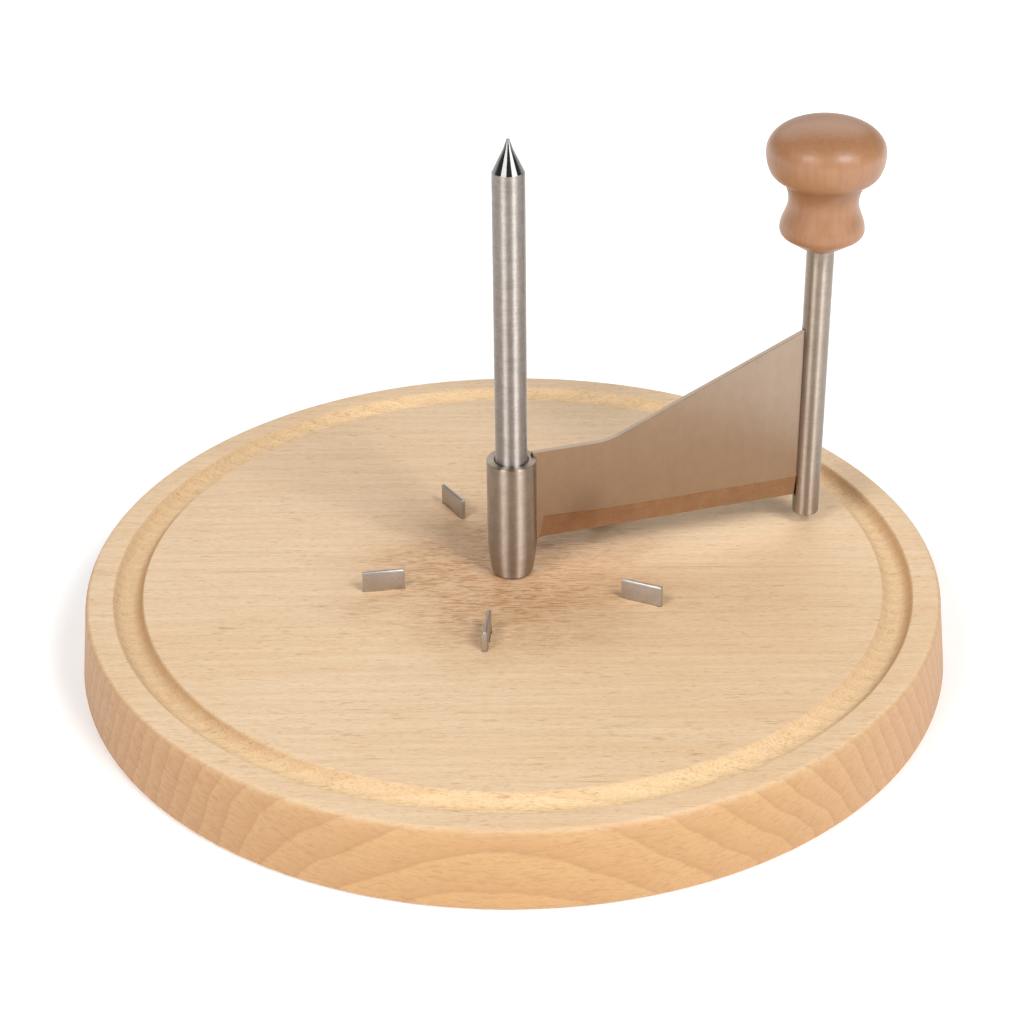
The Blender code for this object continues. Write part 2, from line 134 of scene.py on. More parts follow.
class Paint:
    """Builds the node tree of a material round its Principled BSDF, or of a world round its Background."""

    def __init__(self, name: str, world: bool = False) -> None:
        """Starts a tree.

        Args:
            name: the material's or the world's name.
            world: whether it is a world.
        """
        self.holder = (bpy.data.worlds if world else bpy.data.materials).new(name)
        self.holder.use_nodes = True
        self.tree = self.holder.node_tree
        self.shader = self.tree.nodes["Background" if world else "Principled BSDF"]
        self.place = self.node("ShaderNodeTexCoord", {}, {}, "Generated" if world else "Object")
        self.millimetres = self.node("ShaderNodeVectorMath", {"operation": "SCALE"},
                                     {"Vector": self.place, "Scale": 1.0 / MM})

    def node(self, kind: str, settings: dict[str, Any], inputs: dict[str | int, Any],
             output: str | int = 0) -> Wire:
        """Adds any node.

        Args:
            kind: the node's type name.
            settings: properties that are set first.
            inputs: values or wires of its sockets, by name or number.
            output: the output socket that is wanted.

        Returns:
            That output.
        """
        made = self.tree.nodes.new(kind)
        for key, value in settings.items():
            setattr(made, key, value)
        for key, value in inputs.items():
            self.feed(made.inputs[key], value)
        return Wire(self, made.outputs[output])

    def feed(self, socket: bpy.types.NodeSocket, value: Any) -> None:
        """Links a wire to an input socket, or sets the socket's own value.

        Args:
            socket: the input.
            value: a wire, a number, a vector or a colour.
        """
        if isinstance(value, Wire):
            self.tree.links.new(value.socket, socket)
        elif isinstance(value, tuple) and socket.type == "RGBA":
            socket.default_value = (*value, 1.0)
        else:
            socket.default_value = value

    def math(self, operation: str, *values: Wire | float) -> Wire:
        """One Math node on wires or numbers."""
        return self.node("ShaderNodeMath", {"operation": operation}, dict(enumerate(values)))

    def axes(self, vector: Wire) -> tuple[Wire, Wire, Wire]:
        """Takes a vector apart.

        Args:
            vector: the vector.

        Returns:
            Its three parts.
        """
        apart = self.tree.nodes.new("ShaderNodeSeparateXYZ")
        self.feed(apart.inputs[0], vector)
        return tuple(Wire(self, socket) for socket in apart.outputs)

    def vector(self, x: Wire | float, y: Wire | float, z: Wire | float) -> Wire:
        """A vector of three parts."""
        return self.node("ShaderNodeCombineXYZ", {}, {0: x, 1: y, 2: z})

    def stretched(self, x: float, y: float, z: float) -> Wire:
        """The place in millimetres, times a factor along each axis."""
        return self.node("ShaderNodeVectorMath", {"operation": "MULTIPLY"},
                         {0: self.millimetres, 1: (x, y, z)})

    def noise(self, vector: Wire, scale: float = 1.0, detail: float = 2.0, rough: float = 0.5,
              distortion: float = 0.0) -> Wire:
        """Soft noise from 0 to 1 about 0.5."""
        return self.node("ShaderNodeTexNoise", {}, {"Vector": vector, "Scale": scale, "Detail": detail,
                                                    "Roughness": rough, "Distortion": distortion})

    def mix(self, factor: Wire | float, low: Any, high: Any) -> Wire:
        """Mixes two colours.

        Args:
            factor: how much of the second is taken.
            low: the colour at 0.
            high: the colour at 1.

        Returns:
            The mixed colour.
        """
        made = self.tree.nodes.new("ShaderNodeMix")
        made.data_type = "RGBA"
        for socket, value in ((made.inputs[0], factor), (made.inputs[6], low), (made.inputs[7], high)):
            self.feed(socket, value)
        return Wire(self, made.outputs[2])

    def ramp(self, factor: Wire, stops: Sequence[tuple[float, float]]) -> Wire:
        """Reads a grey ramp.

        Args:
            factor: where it is read.
            stops: its (place, value) stops.

        Returns:
            The value there.
        """
        made = self.tree.nodes.new("ShaderNodeValToRGB")
        elements = made.color_ramp.elements
        while len(elements) < len(stops):
            elements.new(0.5)
        for element, (place, value) in zip(elements, stops):
            element.position = place
            element.color = (value, value, value, 1.0)
        self.feed(made.inputs[0], factor)
        return Wire(self, made.outputs[0])

    def bump(self, height: Wire, depth: float, normal: Wire | None = None) -> Wire:
        """Raises the surface.

        Args:
            height: how high, from 0 to 1.
            depth: what a height of 1 is, in metres.
            normal: a normal that it adds to.

        Returns:
            The new normal.
        """
        inputs = {"Height": height, "Distance": depth, "Strength": 1.0}
        if normal:
            inputs["Normal"] = normal
        return self.node("ShaderNodeBump", {}, inputs)

    def set(self, **values: Any) -> Any:
        """Feeds the shader's sockets.

        Args:
            values: wires or values by the sockets' names, with underscores for spaces.

        Returns:
            The material or world.
        """
        for key, value in values.items():
            self.feed(self.shader.inputs[key.replace("_", " ")], value)
        return self.holder


class Lay(Enum):
    """Which way the fine lines of a metal finish run."""

    TURNED = "round the axis"
    LEVEL = "along the piece"
    UPRIGHT = "up the piece"


@dataclass(frozen=True)
class SteelFinish:
    """Satin, turned, ground or polished metal with fine lines, soft patches and light wear.

    The pitch and the depth of its lines are in millimetres, and its heading turns them about Z.
    """

    name: str
    colour: Colour
    dull: Colour
    roughness: float
    spread: float
    lay: Lay = Lay.TURNED
    line_pitch: float = 0.12
    line_depth: float = 0.004
    streaking: float = 0.0
    line_stretch: float = 50.0
    soiling: float = 0.12
    heading: float = 0.0

    def lines(self, paint: Paint) -> Wire:
        """Stretches the place along the fine lines.

        Args:
            paint: the material's builder.

        Returns:
            The place that the lines' noise is read at.
        """
        x, y, z = paint.axes(paint.millimetres)
        across = 1.0 / self.line_pitch
        along = across / self.line_stretch
        if self.lay is Lay.TURNED:
            return paint.vector(x * along, y * along, z * across)
        reach = x * math.cos(self.heading) + y * math.sin(self.heading)
        aside = y * math.cos(self.heading) - x * math.sin(self.heading)
        level = self.lay is Lay.LEVEL
        return paint.vector(reach * (along if level else across), aside * along,
                            z * (across if level else along))

    def material(self) -> bpy.types.Material:
        """Builds the material.

        Returns:
            The material.
        """
        paint = Paint(self.name)
        lines = self.lines(paint)
        fine = paint.noise(lines, 1.0, 3.0, 0.6)
        broad = paint.noise(lines, 0.13, 2.0, 0.5)
        patches = paint.noise(paint.millimetres, 0.35, 3.0, 0.55)
        smudges = paint.noise(paint.stretched(0.11, 0.11, 0.06), 1.0, 3.0, 0.6).rises(0.55, 0.78)
        mottle = paint.noise(paint.millimetres, 1.6, 3.0, 0.6)
        tone = (fine * 0.2 + broad * 0.15 + patches * 0.35 + mottle * 0.3).rises(0.34, 0.66)
        colour = paint.mix(tone, self.dull, self.colour)
        colour = paint.mix(smudges * self.soiling, colour, tuple(part * 0.62 for part in self.dull))
        rough = self.roughness + (fine - 0.5) * self.spread + (patches - 0.5) * self.spread * 0.8
        rough = rough + smudges * self.spread * 0.5
        normal = paint.bump(fine * 0.7 + broad * 0.3, self.line_depth * MM)
        return paint.set(Base_Color=colour, Metallic=1.0, Roughness=rough, Normal=normal,
                         Anisotropic=self.streaking, Anisotropic_Rotation=0.25)


@dataclass(frozen=True)
class BeechFinish:
    """Fine-sanded beech of two staves, grain along X, with growth rings, flecks and a stained middle.

    The rim, the top and the groove are the board's, in metres. The pitch of its rings, the joint and the
    shift of its staves, and the middle and the reach of its stain are in millimetres.
    """

    rim: float
    top: float
    groove: tuple[float, float]
    pale: Colour = (0.855, 0.645, 0.425)
    warm: Colour = (0.760, 0.500, 0.265)
    side: Colour = (0.590, 0.336, 0.134)
    end: Colour = (0.640, 0.385, 0.225)
    hollow: Colour = (0.960, 0.725, 0.425)
    ring: Colour = (0.540, 0.275, 0.115)
    fleck: Colour = (0.425, 0.210, 0.082)
    stain: Colour = (0.465, 0.205, 0.072)
    ring_pitch: float = 4.1
    ring_tilt: float = math.radians(15.0)
    stave_joint: float = 0.6
    stave_shift: float = 41.0
    stain_middle: tuple[float, float] = (-2.0, -3.0)
    stain_reach: tuple[float, float] = (54.0, 47.0)

    def rings(self, paint: Paint) -> Wire:
        """Growth rings as a solid pattern.

        Args:
            paint: the material's builder.

        Returns:
            1 on the dark line of each ring, falling to 0 before the next.
        """
        x, y, z = paint.axes(paint.millimetres)
        drift = paint.noise(paint.stretched(0.009, 0.02, 0.02), 1.0, 2.0, 0.45) - 0.5
        ripple = paint.noise(paint.stretched(0.06, 0.12, 0.16), 1.0, 2.0, 0.5) - 0.5
        stave = y.rises(self.stave_joint - 0.05, self.stave_joint + 0.05)
        along = y * math.cos(self.ring_tilt) + z * math.sin(self.ring_tilt)
        ring = along + drift * 13.0 + ripple * 1.6 + stave * self.stave_shift
        part = paint.math("FRACT", ring / self.ring_pitch)
        stops = ((0.0, 0.0), (0.06, 0.95), (0.2, 0.6), (0.55, 0.3), (0.9, 0.0), (1.0, 0.0))
        return paint.ramp(part, stops)

    def flecks(self, paint: Paint) -> Wire:
        """Short dark dashes along the grain, in two sizes.

        Args:
            paint: the material's builder.

        Returns:
            1 on a dash.
        """
        small = paint.noise(paint.stretched(0.45, 2.6, 2.6), 1.0, 2.0, 0.55, 0.3).rises(0.57, 0.70)
        large = paint.noise(paint.stretched(0.20, 1.15, 1.3), 1.0, 2.0, 0.55, 0.4).rises(0.60, 0.72)
        where = paint.noise(paint.stretched(0.03, 0.07, 0.07), 1.0, 2.0, 0.5).rises(0.3, 0.65)
        return (small * 0.65 + large * 0.75) * (where * 0.5 + 0.5)

    def rays(self, paint: Paint) -> Wire:
        """Fine dashes across the rings, as the wood's rays show them where it is cut across.

        Args:
            paint: the material's builder.

        Returns:
            1 on a dash.
        """
        x, y, z = paint.axes(paint.millimetres)
        out = y * math.cos(self.ring_tilt) + z * math.sin(self.ring_tilt)
        up = z * math.cos(self.ring_tilt) - y * math.sin(self.ring_tilt)
        coarse = paint.noise(paint.vector(x * 0.3, out * 0.30, up * 1.5), 1.0, 2.0, 0.6, 0.3)
        fine = paint.noise(paint.vector(x * 0.5, out * 0.55, up * 3.4), 1.0, 2.0, 0.6, 0.3)
        return coarse.rises(0.48, 0.68) * 0.6 + fine.rises(0.45, 0.68) * 0.5

    def material(self) -> bpy.types.Material:
        """Builds the material.

        Returns:
            The material.
        """
        paint = Paint("sanded_beech")
        x, y, z = paint.axes(paint.millimetres)
        radius = paint.math("SQRT", x * x + y * y)
        rim, top = self.rim / MM, self.top / MM
        low, high = (edge / MM for edge in self.groove)
        side = radius.rises(rim - 1.2, rim + 0.3)
        sunk = (top - z).rises(0.1, 0.9) * radius.rises(low - 0.8, low) * radius.falls(high, high + 0.8)
        end = paint.math("ABSOLUTE", x / radius).rises(0.45, 1.0) * (side + sunk * 0.25)
        rings, flecks, rays = self.rings(paint), self.flecks(paint), self.rays(paint)

        blotch = paint.noise(paint.stretched(0.012, 0.03, 0.03), 1.0, 3.0, 0.5).rises(0.3, 0.72)
        streak = paint.noise(paint.stretched(0.03, 0.7, 0.7), 1.0, 3.0, 0.6)
        fibre = paint.noise(paint.stretched(0.5, 3.4, 3.4), 1.0, 2.0, 0.55)
        colour = paint.mix(blotch * 0.28 + streak.rises(0.34, 0.70) * 0.42, self.pale, self.warm)
        # the side wall's colour: its own oranger end-grain tone, also made darker as painted shade, as the
        # side takes less light than the top
        colour = paint.mix(side * 0.85, colour, self.side)
        colour = paint.mix(sunk * 0.75, colour, self.hollow)
        colour = paint.mix(end * 0.7, colour, self.end)
        # painted shade: the side wall and the groove darken towards the left, away from the stronger lights
        painted_left_shade = (0.0 - x / radius).rises(0.2, 1.0) * (side + sunk * 0.3)
        colour = paint.mix(rings * (0.1 + sunk * 0.12), colour, self.ring)
        # the rings show darker on the side wall as real end grain; the left-hand darkening added here is
        # painted shade
        colour = paint.mix(rings * side * 0.42 + painted_left_shade * 0.30, colour, self.fleck)
        wall = (radius - (low + high) / 2) / ((high - low) / 2)
        # painted shade: the groove walls that face -X are darkened towards the ring colour, as the light
        # falls from the right
        painted_wall_shade = (wall * x / radius).rises(0.15, 0.85) * sunk
        colour = paint.mix(painted_wall_shade * 0.55, colour, self.ring)
        colour = paint.mix(flecks * (0.52 - side * 0.10), colour, self.fleck)
        colour = paint.mix(fibre.rises(0.42, 0.72) * 0.24, colour, self.ring)
        # the rays on the side wall are real grain, drawn darker and stronger on the left as painted shade
        colour = paint.mix(rays * side * (0.38 + painted_left_shade * 0.45), colour, self.fleck)

        (stain_x, stain_y), (reach_x, reach_y) = self.stain_middle, self.stain_reach
        spread = paint.math("SQRT", ((x - stain_x) / reach_x) ** 2.0 + ((y - stain_y) / reach_y) ** 2.0)
        cloud = paint.noise(paint.stretched(0.045, 0.12, 0.12), 1.0, 4.0, 0.6)
        tears = paint.noise(paint.stretched(0.26, 1.9, 1.9), 1.0, 3.0, 0.62, 0.8)
        stained = (spread + (cloud - 0.5) * 0.9).falls(0.2, 1.05) * (top - z).falls(0.0, 1.0)
        worn = tears.rises(0.44, 0.64)
        colour = paint.mix(stained * (0.34 + worn * 0.60), colour, self.stain)

        joint = paint.math("ABSOLUTE", y - self.stave_joint + (streak - 0.5) * 0.5).falls(0.05, 0.32)
        shown = paint.noise(paint.stretched(0.035, 0.0, 0.0), 1.0, 1.0, 0.5).rises(0.42, 0.6)
        colour = paint.mix(joint * shown * 0.5, colour, self.ring)

        speckle = paint.noise(paint.stretched(0.9, 1.5, 1.5), 1.0, 3.0, 0.6)
        mottled = sunk * 0.28 + end * 0.35
        colour = paint.mix(speckle.rises(0.5, 0.75) * mottled, colour, self.ring)
        rough = 0.50 + (streak - 0.5) * 0.16 + flecks * 0.1 + sunk * 0.08
        height = 0.6 - flecks * 0.4 + (fibre - 0.5) * 0.3 - joint * shown * 0.4 - stained * worn * 0.5
        height = height - rays * side * 0.5
        coarse = (speckle - 0.5) * (sunk + end * 0.4) + (streak - 0.5) * 0.25
        normal = paint.bump(height, 0.10 * MM, paint.bump(coarse, 0.4 * MM))
        return paint.set(Base_Color=colour, Roughness=rough, Normal=normal)


@dataclass(frozen=True)
class LacquerFinish:
    """Turned wood, stained brown under a satin lacquer, its grain up the piece.

    Its middle, its crease and how far the painted shade under the head reaches about the crease are in
    metres.
    """

    middle: tuple[float, float]
    crease: float
    colour: Colour = (0.365, 0.172, 0.077)
    dark: Colour = (0.250, 0.100, 0.038)
    roughness: float = 0.46
    head_shade_reach: float = 0.0042
    coat: float = 0.42
    coat_roughness: float = 0.31

    def material(self) -> bpy.types.Material:
        """Builds the material.

        Returns:
            The material.
        """
        paint = Paint("lacquered_knob_wood")
        x, y, z = paint.axes(paint.millimetres)
        x, y = x - self.middle[0] / MM, y - self.middle[1] / MM
        grain = paint.noise(paint.vector(x * 0.9, y * 0.9, z * 0.06), 1.0, 3.0, 0.55, 0.4)
        fine = paint.noise(paint.vector(x * 5.0, y * 5.0, z * 0.5), 1.0, 2.0, 0.5)
        cloud = paint.noise(paint.vector(x * 0.08, y * 0.08, z * 0.05), 1.0, 2.0, 0.5)
        colour = paint.mix(grain.rises(0.3, 0.75) * 0.34 + (cloud - 0.5) * 0.5, self.colour, self.dark)
        colour = paint.mix(fine.rises(0.55, 0.75) * 0.16, colour, self.dark)
        # painted shade: the wood darkens about the crease, where the head shades the neck
        head_shade = paint.math("ABSOLUTE", z - self.crease / MM).falls(0.0, self.head_shade_reach / MM)
        colour = paint.mix(head_shade * 0.55, colour, self.dark)
        rough = self.roughness + (cloud - 0.5) * 0.12 + (fine - 0.5) * 0.05
        normal = paint.bump(grain * 0.5 + fine * 0.5, 0.03 * MM)
        return paint.set(Base_Color=colour, Roughness=rough, Normal=normal, Coat_Weight=self.coat,
                         Coat_Roughness=self.coat_roughness)


@dataclass(frozen=True)
class FloorFinish:
    """A pale smooth table top that glows a little, and more beyond the object.

    Its reaches are in millimetres.
    """

    colour: Colour = (0.93, 0.93, 0.93)
    near_glow: float = 0.26
    far_glow: float = 1.0
    near_reach: float = 150.0
    far_reach: float = 600.0

    def material(self) -> bpy.types.Material:
        """Builds the material.

        Returns:
            The material.
        """
        paint = Paint("pale_floor")
        grain = paint.noise(paint.millimetres, 0.02, 2.0, 0.5)
        colour = paint.mix(grain * 0.2, self.colour, tuple(part * 0.985 for part in self.colour))
        x, y, _ = paint.axes(paint.millimetres)
        far = paint.math("SQRT", x * x + y * y).rises(self.near_reach, self.far_reach)
        glow = paint.mix(far, (self.near_glow,) * 3, (self.far_glow,) * 3)
        return paint.set(Base_Color=colour, Roughness=0.75 + (grain - 0.5) * 0.05, Emission_Color=glow,
                         Emission_Strength=1.0)


# -------------------------------------------------------------------------------------------- modelling


class Bench:
    """Hand modelling with Blender's operators, in code."""

    @staticmethod
    def clear() -> None:
        """Deselects every object."""
        bpy.ops.object.select_all(action="DESELECT")

    @staticmethod
    def take(piece: bpy.types.Object) -> bpy.types.Object:
        """Selects one piece alone and makes it active.

        Args:
            piece: the piece.

        Returns:
            The piece.
        """
        Bench.clear()
        piece.select_set(True)
        bpy.context.view_layer.objects.active = piece
        return piece

    @staticmethod
    def select(piece: bpy.types.Object, wanted: Callable[[Any], bool], kind: str = "faces") -> None:
        """Selects parts of a piece in edit mode by a test.

        Args:
            piece: the piece.
            wanted: the test.
            kind: "faces", "edges" or "verts".
        """
        mesh = bmesh.from_edit_mesh(piece.data)
        bpy.ops.mesh.select_all(action="DESELECT")
        for element in getattr(mesh, kind):
            if wanted(element):
                element.select = True
        mesh.select_flush(True)
        bmesh.update_edit_mesh(piece.data)

    @staticmethod
    def tidy() -> None:
        """Merges doubles and turns all faces outwards, in edit mode."""
        bpy.ops.mesh.select_all(action="SELECT")
        bpy.ops.mesh.remove_doubles(threshold=MERGE)
        bpy.ops.mesh.normals_make_consistent(inside=False)

    @staticmethod
    def lathe(name: str, profile: Profile, steps: int = 128, ring: bool = False) -> bpy.types.Object:
        """Turns a piece about Z.

        Args:
            name: the piece's name.
            profile: (radius, height) points of its section.
            steps: how many steps the turn takes.
            ring: whether the section closes on itself.

        Returns:
            The piece.
        """
        Bench.clear()
        (radius, height), rest = profile[0], profile[1:]
        bpy.ops.mesh.primitive_plane_add(size=MM, location=(0.0, 0.0, 0.0))
        piece = bpy.context.active_object
        piece.name = piece.data.name = name
        bpy.ops.object.mode_set(mode="EDIT")
        bpy.ops.mesh.select_mode(type="VERT")
        bpy.ops.mesh.select_all(action="SELECT")
        bpy.ops.mesh.merge(type="CENTER")
        bpy.ops.transform.translate(value=(radius, 0.0, height))
        for next_radius, next_height in rest:
            move = {"value": (next_radius - radius, 0.0, next_height - height)}
            bpy.ops.mesh.extrude_vertices_move(TRANSFORM_OT_translate=move)
            radius, height = next_radius, next_height
        if ring:
            Bench.select(piece, lambda vertex: len(vertex.link_edges) == 1, "verts")
            bpy.ops.mesh.edge_face_add()
        bpy.ops.mesh.select_all(action="SELECT")
        bpy.ops.mesh.spin(steps=steps, angle=FULL_TURN, center=(0.0, 0.0, 0.0), axis=(0.0, 0.0, 1.0))
        Bench.tidy()
        bpy.ops.object.mode_set(mode="OBJECT")
        return piece

    @staticmethod
    def block(name: str, low: Sequence[float], high: Sequence[float]) -> bpy.types.Object:
        """Makes a box, its object at the origin.

        Args:
            name: the box's name.
            low: its lowest corner.
            high: its highest corner.

        Returns:
            The box.
        """
        Bench.clear()
        bpy.ops.mesh.primitive_cube_add(size=1.0, location=(0.0, 0.0, 0.0))
        piece = bpy.context.active_object
        piece.name = piece.data.name = name
        piece.scale = [b - a for a, b in zip(low, high)]
        piece.location = [(a + b) / 2 for a, b in zip(low, high)]
        Bench.settle(piece)
        return piece

    @staticmethod
    def settle(piece: bpy.types.Object) -> bpy.types.Object:
        """Moves a piece's place, turn and scale into its mesh.

        Args:
            piece: the piece.

        Returns:
            The piece.
        """
        Bench.take(piece)
        bpy.ops.object.transform_apply(location=True, rotation=True, scale=True)
        return piece

    @staticmethod
    def stand(piece: bpy.types.Object, place: Vector, heading: float) -> bpy.types.Object:
        """Turns a piece modelled along X and puts it in its place.

        Args:
            piece: the piece.
            place: where its origin goes.
            heading: which way its X goes, from +X.

        Returns:
            The piece.
        """
        piece.rotation_euler = (0.0, 0.0, heading)
        piece.location = place
        return Bench.settle(piece)

    @staticmethod
    def turn_to(piece: bpy.types.Object, heading: float, reach: float = 0.0) -> bpy.types.Object:
        """Turns a piece modelled along X to its heading, moved out by a reach."""
        place = Vector((reach * math.cos(heading), reach * math.sin(heading), 0.0))
        return Bench.stand(piece, place, heading)

    @staticmethod
    def apply(piece: bpy.types.Object, kind: str, **settings: Any) -> bpy.types.Object:
        """Adds a modifier and applies it.

        Args:
            piece: the piece.
            kind: the modifier's type.
            settings: its properties.

        Returns:
            The piece.
        """
        Bench.take(piece)
        modifier = piece.modifiers.new(kind.title(), kind)
        for key, value in settings.items():
            setattr(modifier, key, value)
        bpy.ops.object.modifier_apply(modifier=modifier.name)
        return piece

    @staticmethod
    def cut(piece: bpy.types.Object, cutter: bpy.types.Object, operation: str = "DIFFERENCE") -> None:
        """Cuts the piece with a cutter, which is used up."""
        Bench.apply(piece, "BOOLEAN", operation=operation, object=cutter, solver="EXACT")
        bpy.data.objects.remove(cutter, do_unlink=True)

    @staticmethod
    def soften(piece: bpy.types.Object, width: float, segments: int = 2, angle: float = 35.0) -> None:
        """Rounds the piece's sharp edges."""
        Bench.apply(piece, "BEVEL", width=width, segments=segments, limit_method="ANGLE",
                    angle_limit=math.radians(angle), harden_normals=False)

    @staticmethod
    def finish(piece: bpy.types.Object, body: str, node: str | None, slot: str,
               *materials: bpy.types.Material, smooth: float = 35.0) -> bpy.types.Object:
        """Dresses a piece and hands it to the frame.

        Args:
            piece: the piece, at the origin.
            body: the body that it rides on.
            node: the frame's node that it stands for, if any.
            slot: the name of the material slot that it takes its finish from; it is not used.
            materials: its materials, in the order of its slots.
            smooth: the angle in degrees up to which edges look smooth.

        Returns:
            The piece.
        """
        Bench.take(piece)
        piece.data.materials.clear()
        for material in materials:
            piece.data.materials.append(material)
        bpy.ops.object.shade_smooth_by_angle(angle=math.radians(smooth))
        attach(piece, body)
        if node:
            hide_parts(node)
        Bench.clear()
        LOG.info("finished %s, which rides on %s", piece.name, body)
        return piece


def arc(centre: tuple[float, float], radii: tuple[float, float], start: float, end: float,
        steps: int) -> Profile:
    """Draws an elliptical arc in a section.

    Args:
        centre: the ellipse's middle.
        radii: its two radii.
        start: the first angle, in degrees.
        end: the last angle, in degrees.
        steps: how many steps there are between them.

    Returns:
        The arc's points.
    """
    angles = (math.radians(start + (end - start) * step / steps) for step in range(steps + 1))
    return [(centre[0] + radii[0] * math.cos(a), centre[1] + radii[1] * math.sin(a)) for a in angles]


def bend(start: tuple[float, float], corner: tuple[float, float], end: tuple[float, float],
         steps: int) -> Profile:
    """Rounds off a corner of a section.

    Args:
        start: where the rounding starts.
        corner: the sharp corner.
        end: where the rounding ends.
        steps: how many steps it takes.

    Returns:
        The rounding's points.
    """
    shares = (step / steps for step in range(steps + 1))
    return [tuple((1 - s)**2 * a + 2 * s * (1 - s) * b + s**2 * c for a, b, c in zip(start, corner, end))
            for s in shares]


# ------------------------------------------------------------------------------------------- the board


@dataclass
class Board:
    """The turned beech board with its groove, its bore and a slot for each holding plate."""

    radius: float = 0.110
    rim_width: float = 0.0072
    groove_width: float = 0.0075
    groove_depth: float = 0.0030
    groove_edge: float = 0.0005
    edge_flatness: float = 0.55
    top_rounding: float = 0.0016
    foot_rounding: float = 0.0012
    bore: float = 0.00435
    bore_depth: float = 0.0073
    shank_bore: float = 0.0033
    recess_radius: float = 0.0120
    recess_depth: float = 0.0076
    slot_gap: float = 0.00005
    chamfer: float = 0.0003
    recess_chamfer: float = 0.0004
    cove_trim: float = 9.0
    top_loops: tuple[float, ...] = (0.2, 0.4, 0.6, 0.8)
    foot_loops: tuple[float, ...] = (0.8, 0.5, 0.25)
    splinters: int = 14
    splinter_reach: float = 0.0054
    splinter_aside: tuple[float, float] = (0.00085, 0.0014)
    plates: HoldingPlates = field(default_factory=lambda: HoldingPlates())
    splinter: Splinter = field(default_factory=lambda: Splinter())
    high: Vector = field(default_factory=lambda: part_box("board")[1])

    @property
    def groove(self) -> tuple[float, float]:
        """The groove's inner and outer radius."""
        outer = self.radius - self.rim_width
        return outer - self.groove_width, outer

    def section(self) -> Profile:
        """Draws the board's section.

        Returns:
            Its points, from the top of the bore outwards and round.
        """
        top, foot = self.high.z, self.high.x
        inner, outer = self.groove
        edge, edge_drop = self.groove_edge, self.groove_edge * self.edge_flatness
        half = self.groove_width / 2
        cove = (half**2 + self.groove_depth**2) / (2 * self.groove_depth)
        middle = ((inner + outer) / 2, top - self.groove_depth + cove)
        swing = math.degrees(math.asin(half / cove)) - self.cove_trim
        profile = [(self.bore, top - self.chamfer), (self.bore + self.chamfer, top)]
        profile += [(self.bore + (inner - edge - self.bore) * share, top) for share in self.top_loops]
        profile += arc((inner - edge, top - edge_drop), (edge, edge_drop), 90, 40, 4)
        profile += arc(middle, (cove, cove), 270 - swing, 270 + swing, 20)
        profile += arc((outer + edge, top - edge_drop), (edge, edge_drop), 140, 90, 4)
        rounding = self.top_rounding
        profile += arc((self.radius - rounding, top - rounding), (rounding, rounding), 90, 5, 8)
        rounding = self.foot_rounding
        profile += arc((foot - rounding, rounding), (rounding, rounding), 0, -90, 6)
        profile += [(foot * share, 0.0) for share in self.foot_loops]
        recess, depth, edge = self.recess_radius, self.recess_depth, self.recess_chamfer
        profile += [(recess + edge, 0.0), (recess, edge), (recess, depth), (self.shank_bore, depth)]
        seat = top - self.bore_depth
        return profile + [(self.shank_bore, seat), (self.bore, seat)]

    def build(self) -> None:
        """Turns the board and cuts its slots, each with a ragged edge."""
        board = Bench.lathe("beech_board", self.section(), 240, ring=True)
        chance = random.Random(4)
        for node in self.plates.nodes:
            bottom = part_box(node)[0].z - self.slot_gap
            half_length, half_width = self.plates.length / 2, self.plates.thickness / 2
            cutter = ragged_slot(half_length + self.slot_gap, half_width + self.slot_gap, bottom,
                                 self.high.z + MM, chance)
            Bench.cut(board, Bench.stand(cutter, *self.plates.place(node)))
        beech = BeechFinish(self.radius, self.high.z, self.groove).material()
        Bench.finish(board, "base", "board", "beech", beech, smooth=30.0)
        self.build_splinters(beech, chance)

    def build_splinters(self, beech: bpy.types.Material, chance: random.Random) -> None:
        """Makes the small torn fibres that stand up round each slot.

        Args:
            beech: the board's material.
            chance: the board's random numbers.
        """
        for number, node in enumerate(self.plates.nodes, start=1):
            middle, heading = self.plates.place(node)
            slivers = []
            for _ in range(self.splinters):
                place = Vector((chance.uniform(-self.splinter_reach, self.splinter_reach),
                                chance.choice((-1, 1)) * chance.uniform(*self.splinter_aside), 0.0))
                place.rotate(Matrix.Rotation(heading, 3, "Z"))
                slivers.append(self.splinter.build(middle + place, self.high.z, chance))
            joined = join(f"slot_splinters_{number}", slivers)
            Bench.finish(joined, "base", None, "beech", beech)


def ragged_slot(half_length: float, half_width: float, bottom: float, top: float,
                chance: random.Random, steps: int = 14,
                tears: tuple[float, ...] = (0.0, 0.0, 0.00006, 0.00022)) -> bpy.types.Object:
    """Makes a cutter for a slot along X, whose long sides wander a little where the wood tore.

    Args:
        half_length: half the slot's length.
        half_width: half its width.
        bottom: the height of its bottom.
        top: the height of its top.
        chance: the board's random numbers.
        steps: how many steps its sides wander in.
        tears: how far they may stand out at a step.

    Returns:
        The cutter.
    """
    cutter = Bench.block("slot_cutter", (-half_length, -half_width, bottom), (half_length, half_width, top))
    bpy.ops.object.mode_set(mode="EDIT")
    bpy.ops.mesh.select_mode(type="VERT")
    for step in range(1, steps):
        bpy.ops.mesh.select_all(action="SELECT")
        place = -half_length + 2 * half_length * step / steps
        bpy.ops.mesh.bisect(plane_co=(place, 0.0, 0.0), plane_no=(1.0, 0.0, 0.0))
    mesh = bmesh.from_edit_mesh(cutter.data)
    for vertex in mesh.verts:
        if vertex.co.z > bottom + MM:
            vertex.co.y += math.copysign(chance.choice(tears), vertex.co.y)
    bmesh.update_edit_mesh(cutter.data)
    bpy.ops.object.mode_set(mode="OBJECT")
    return cutter


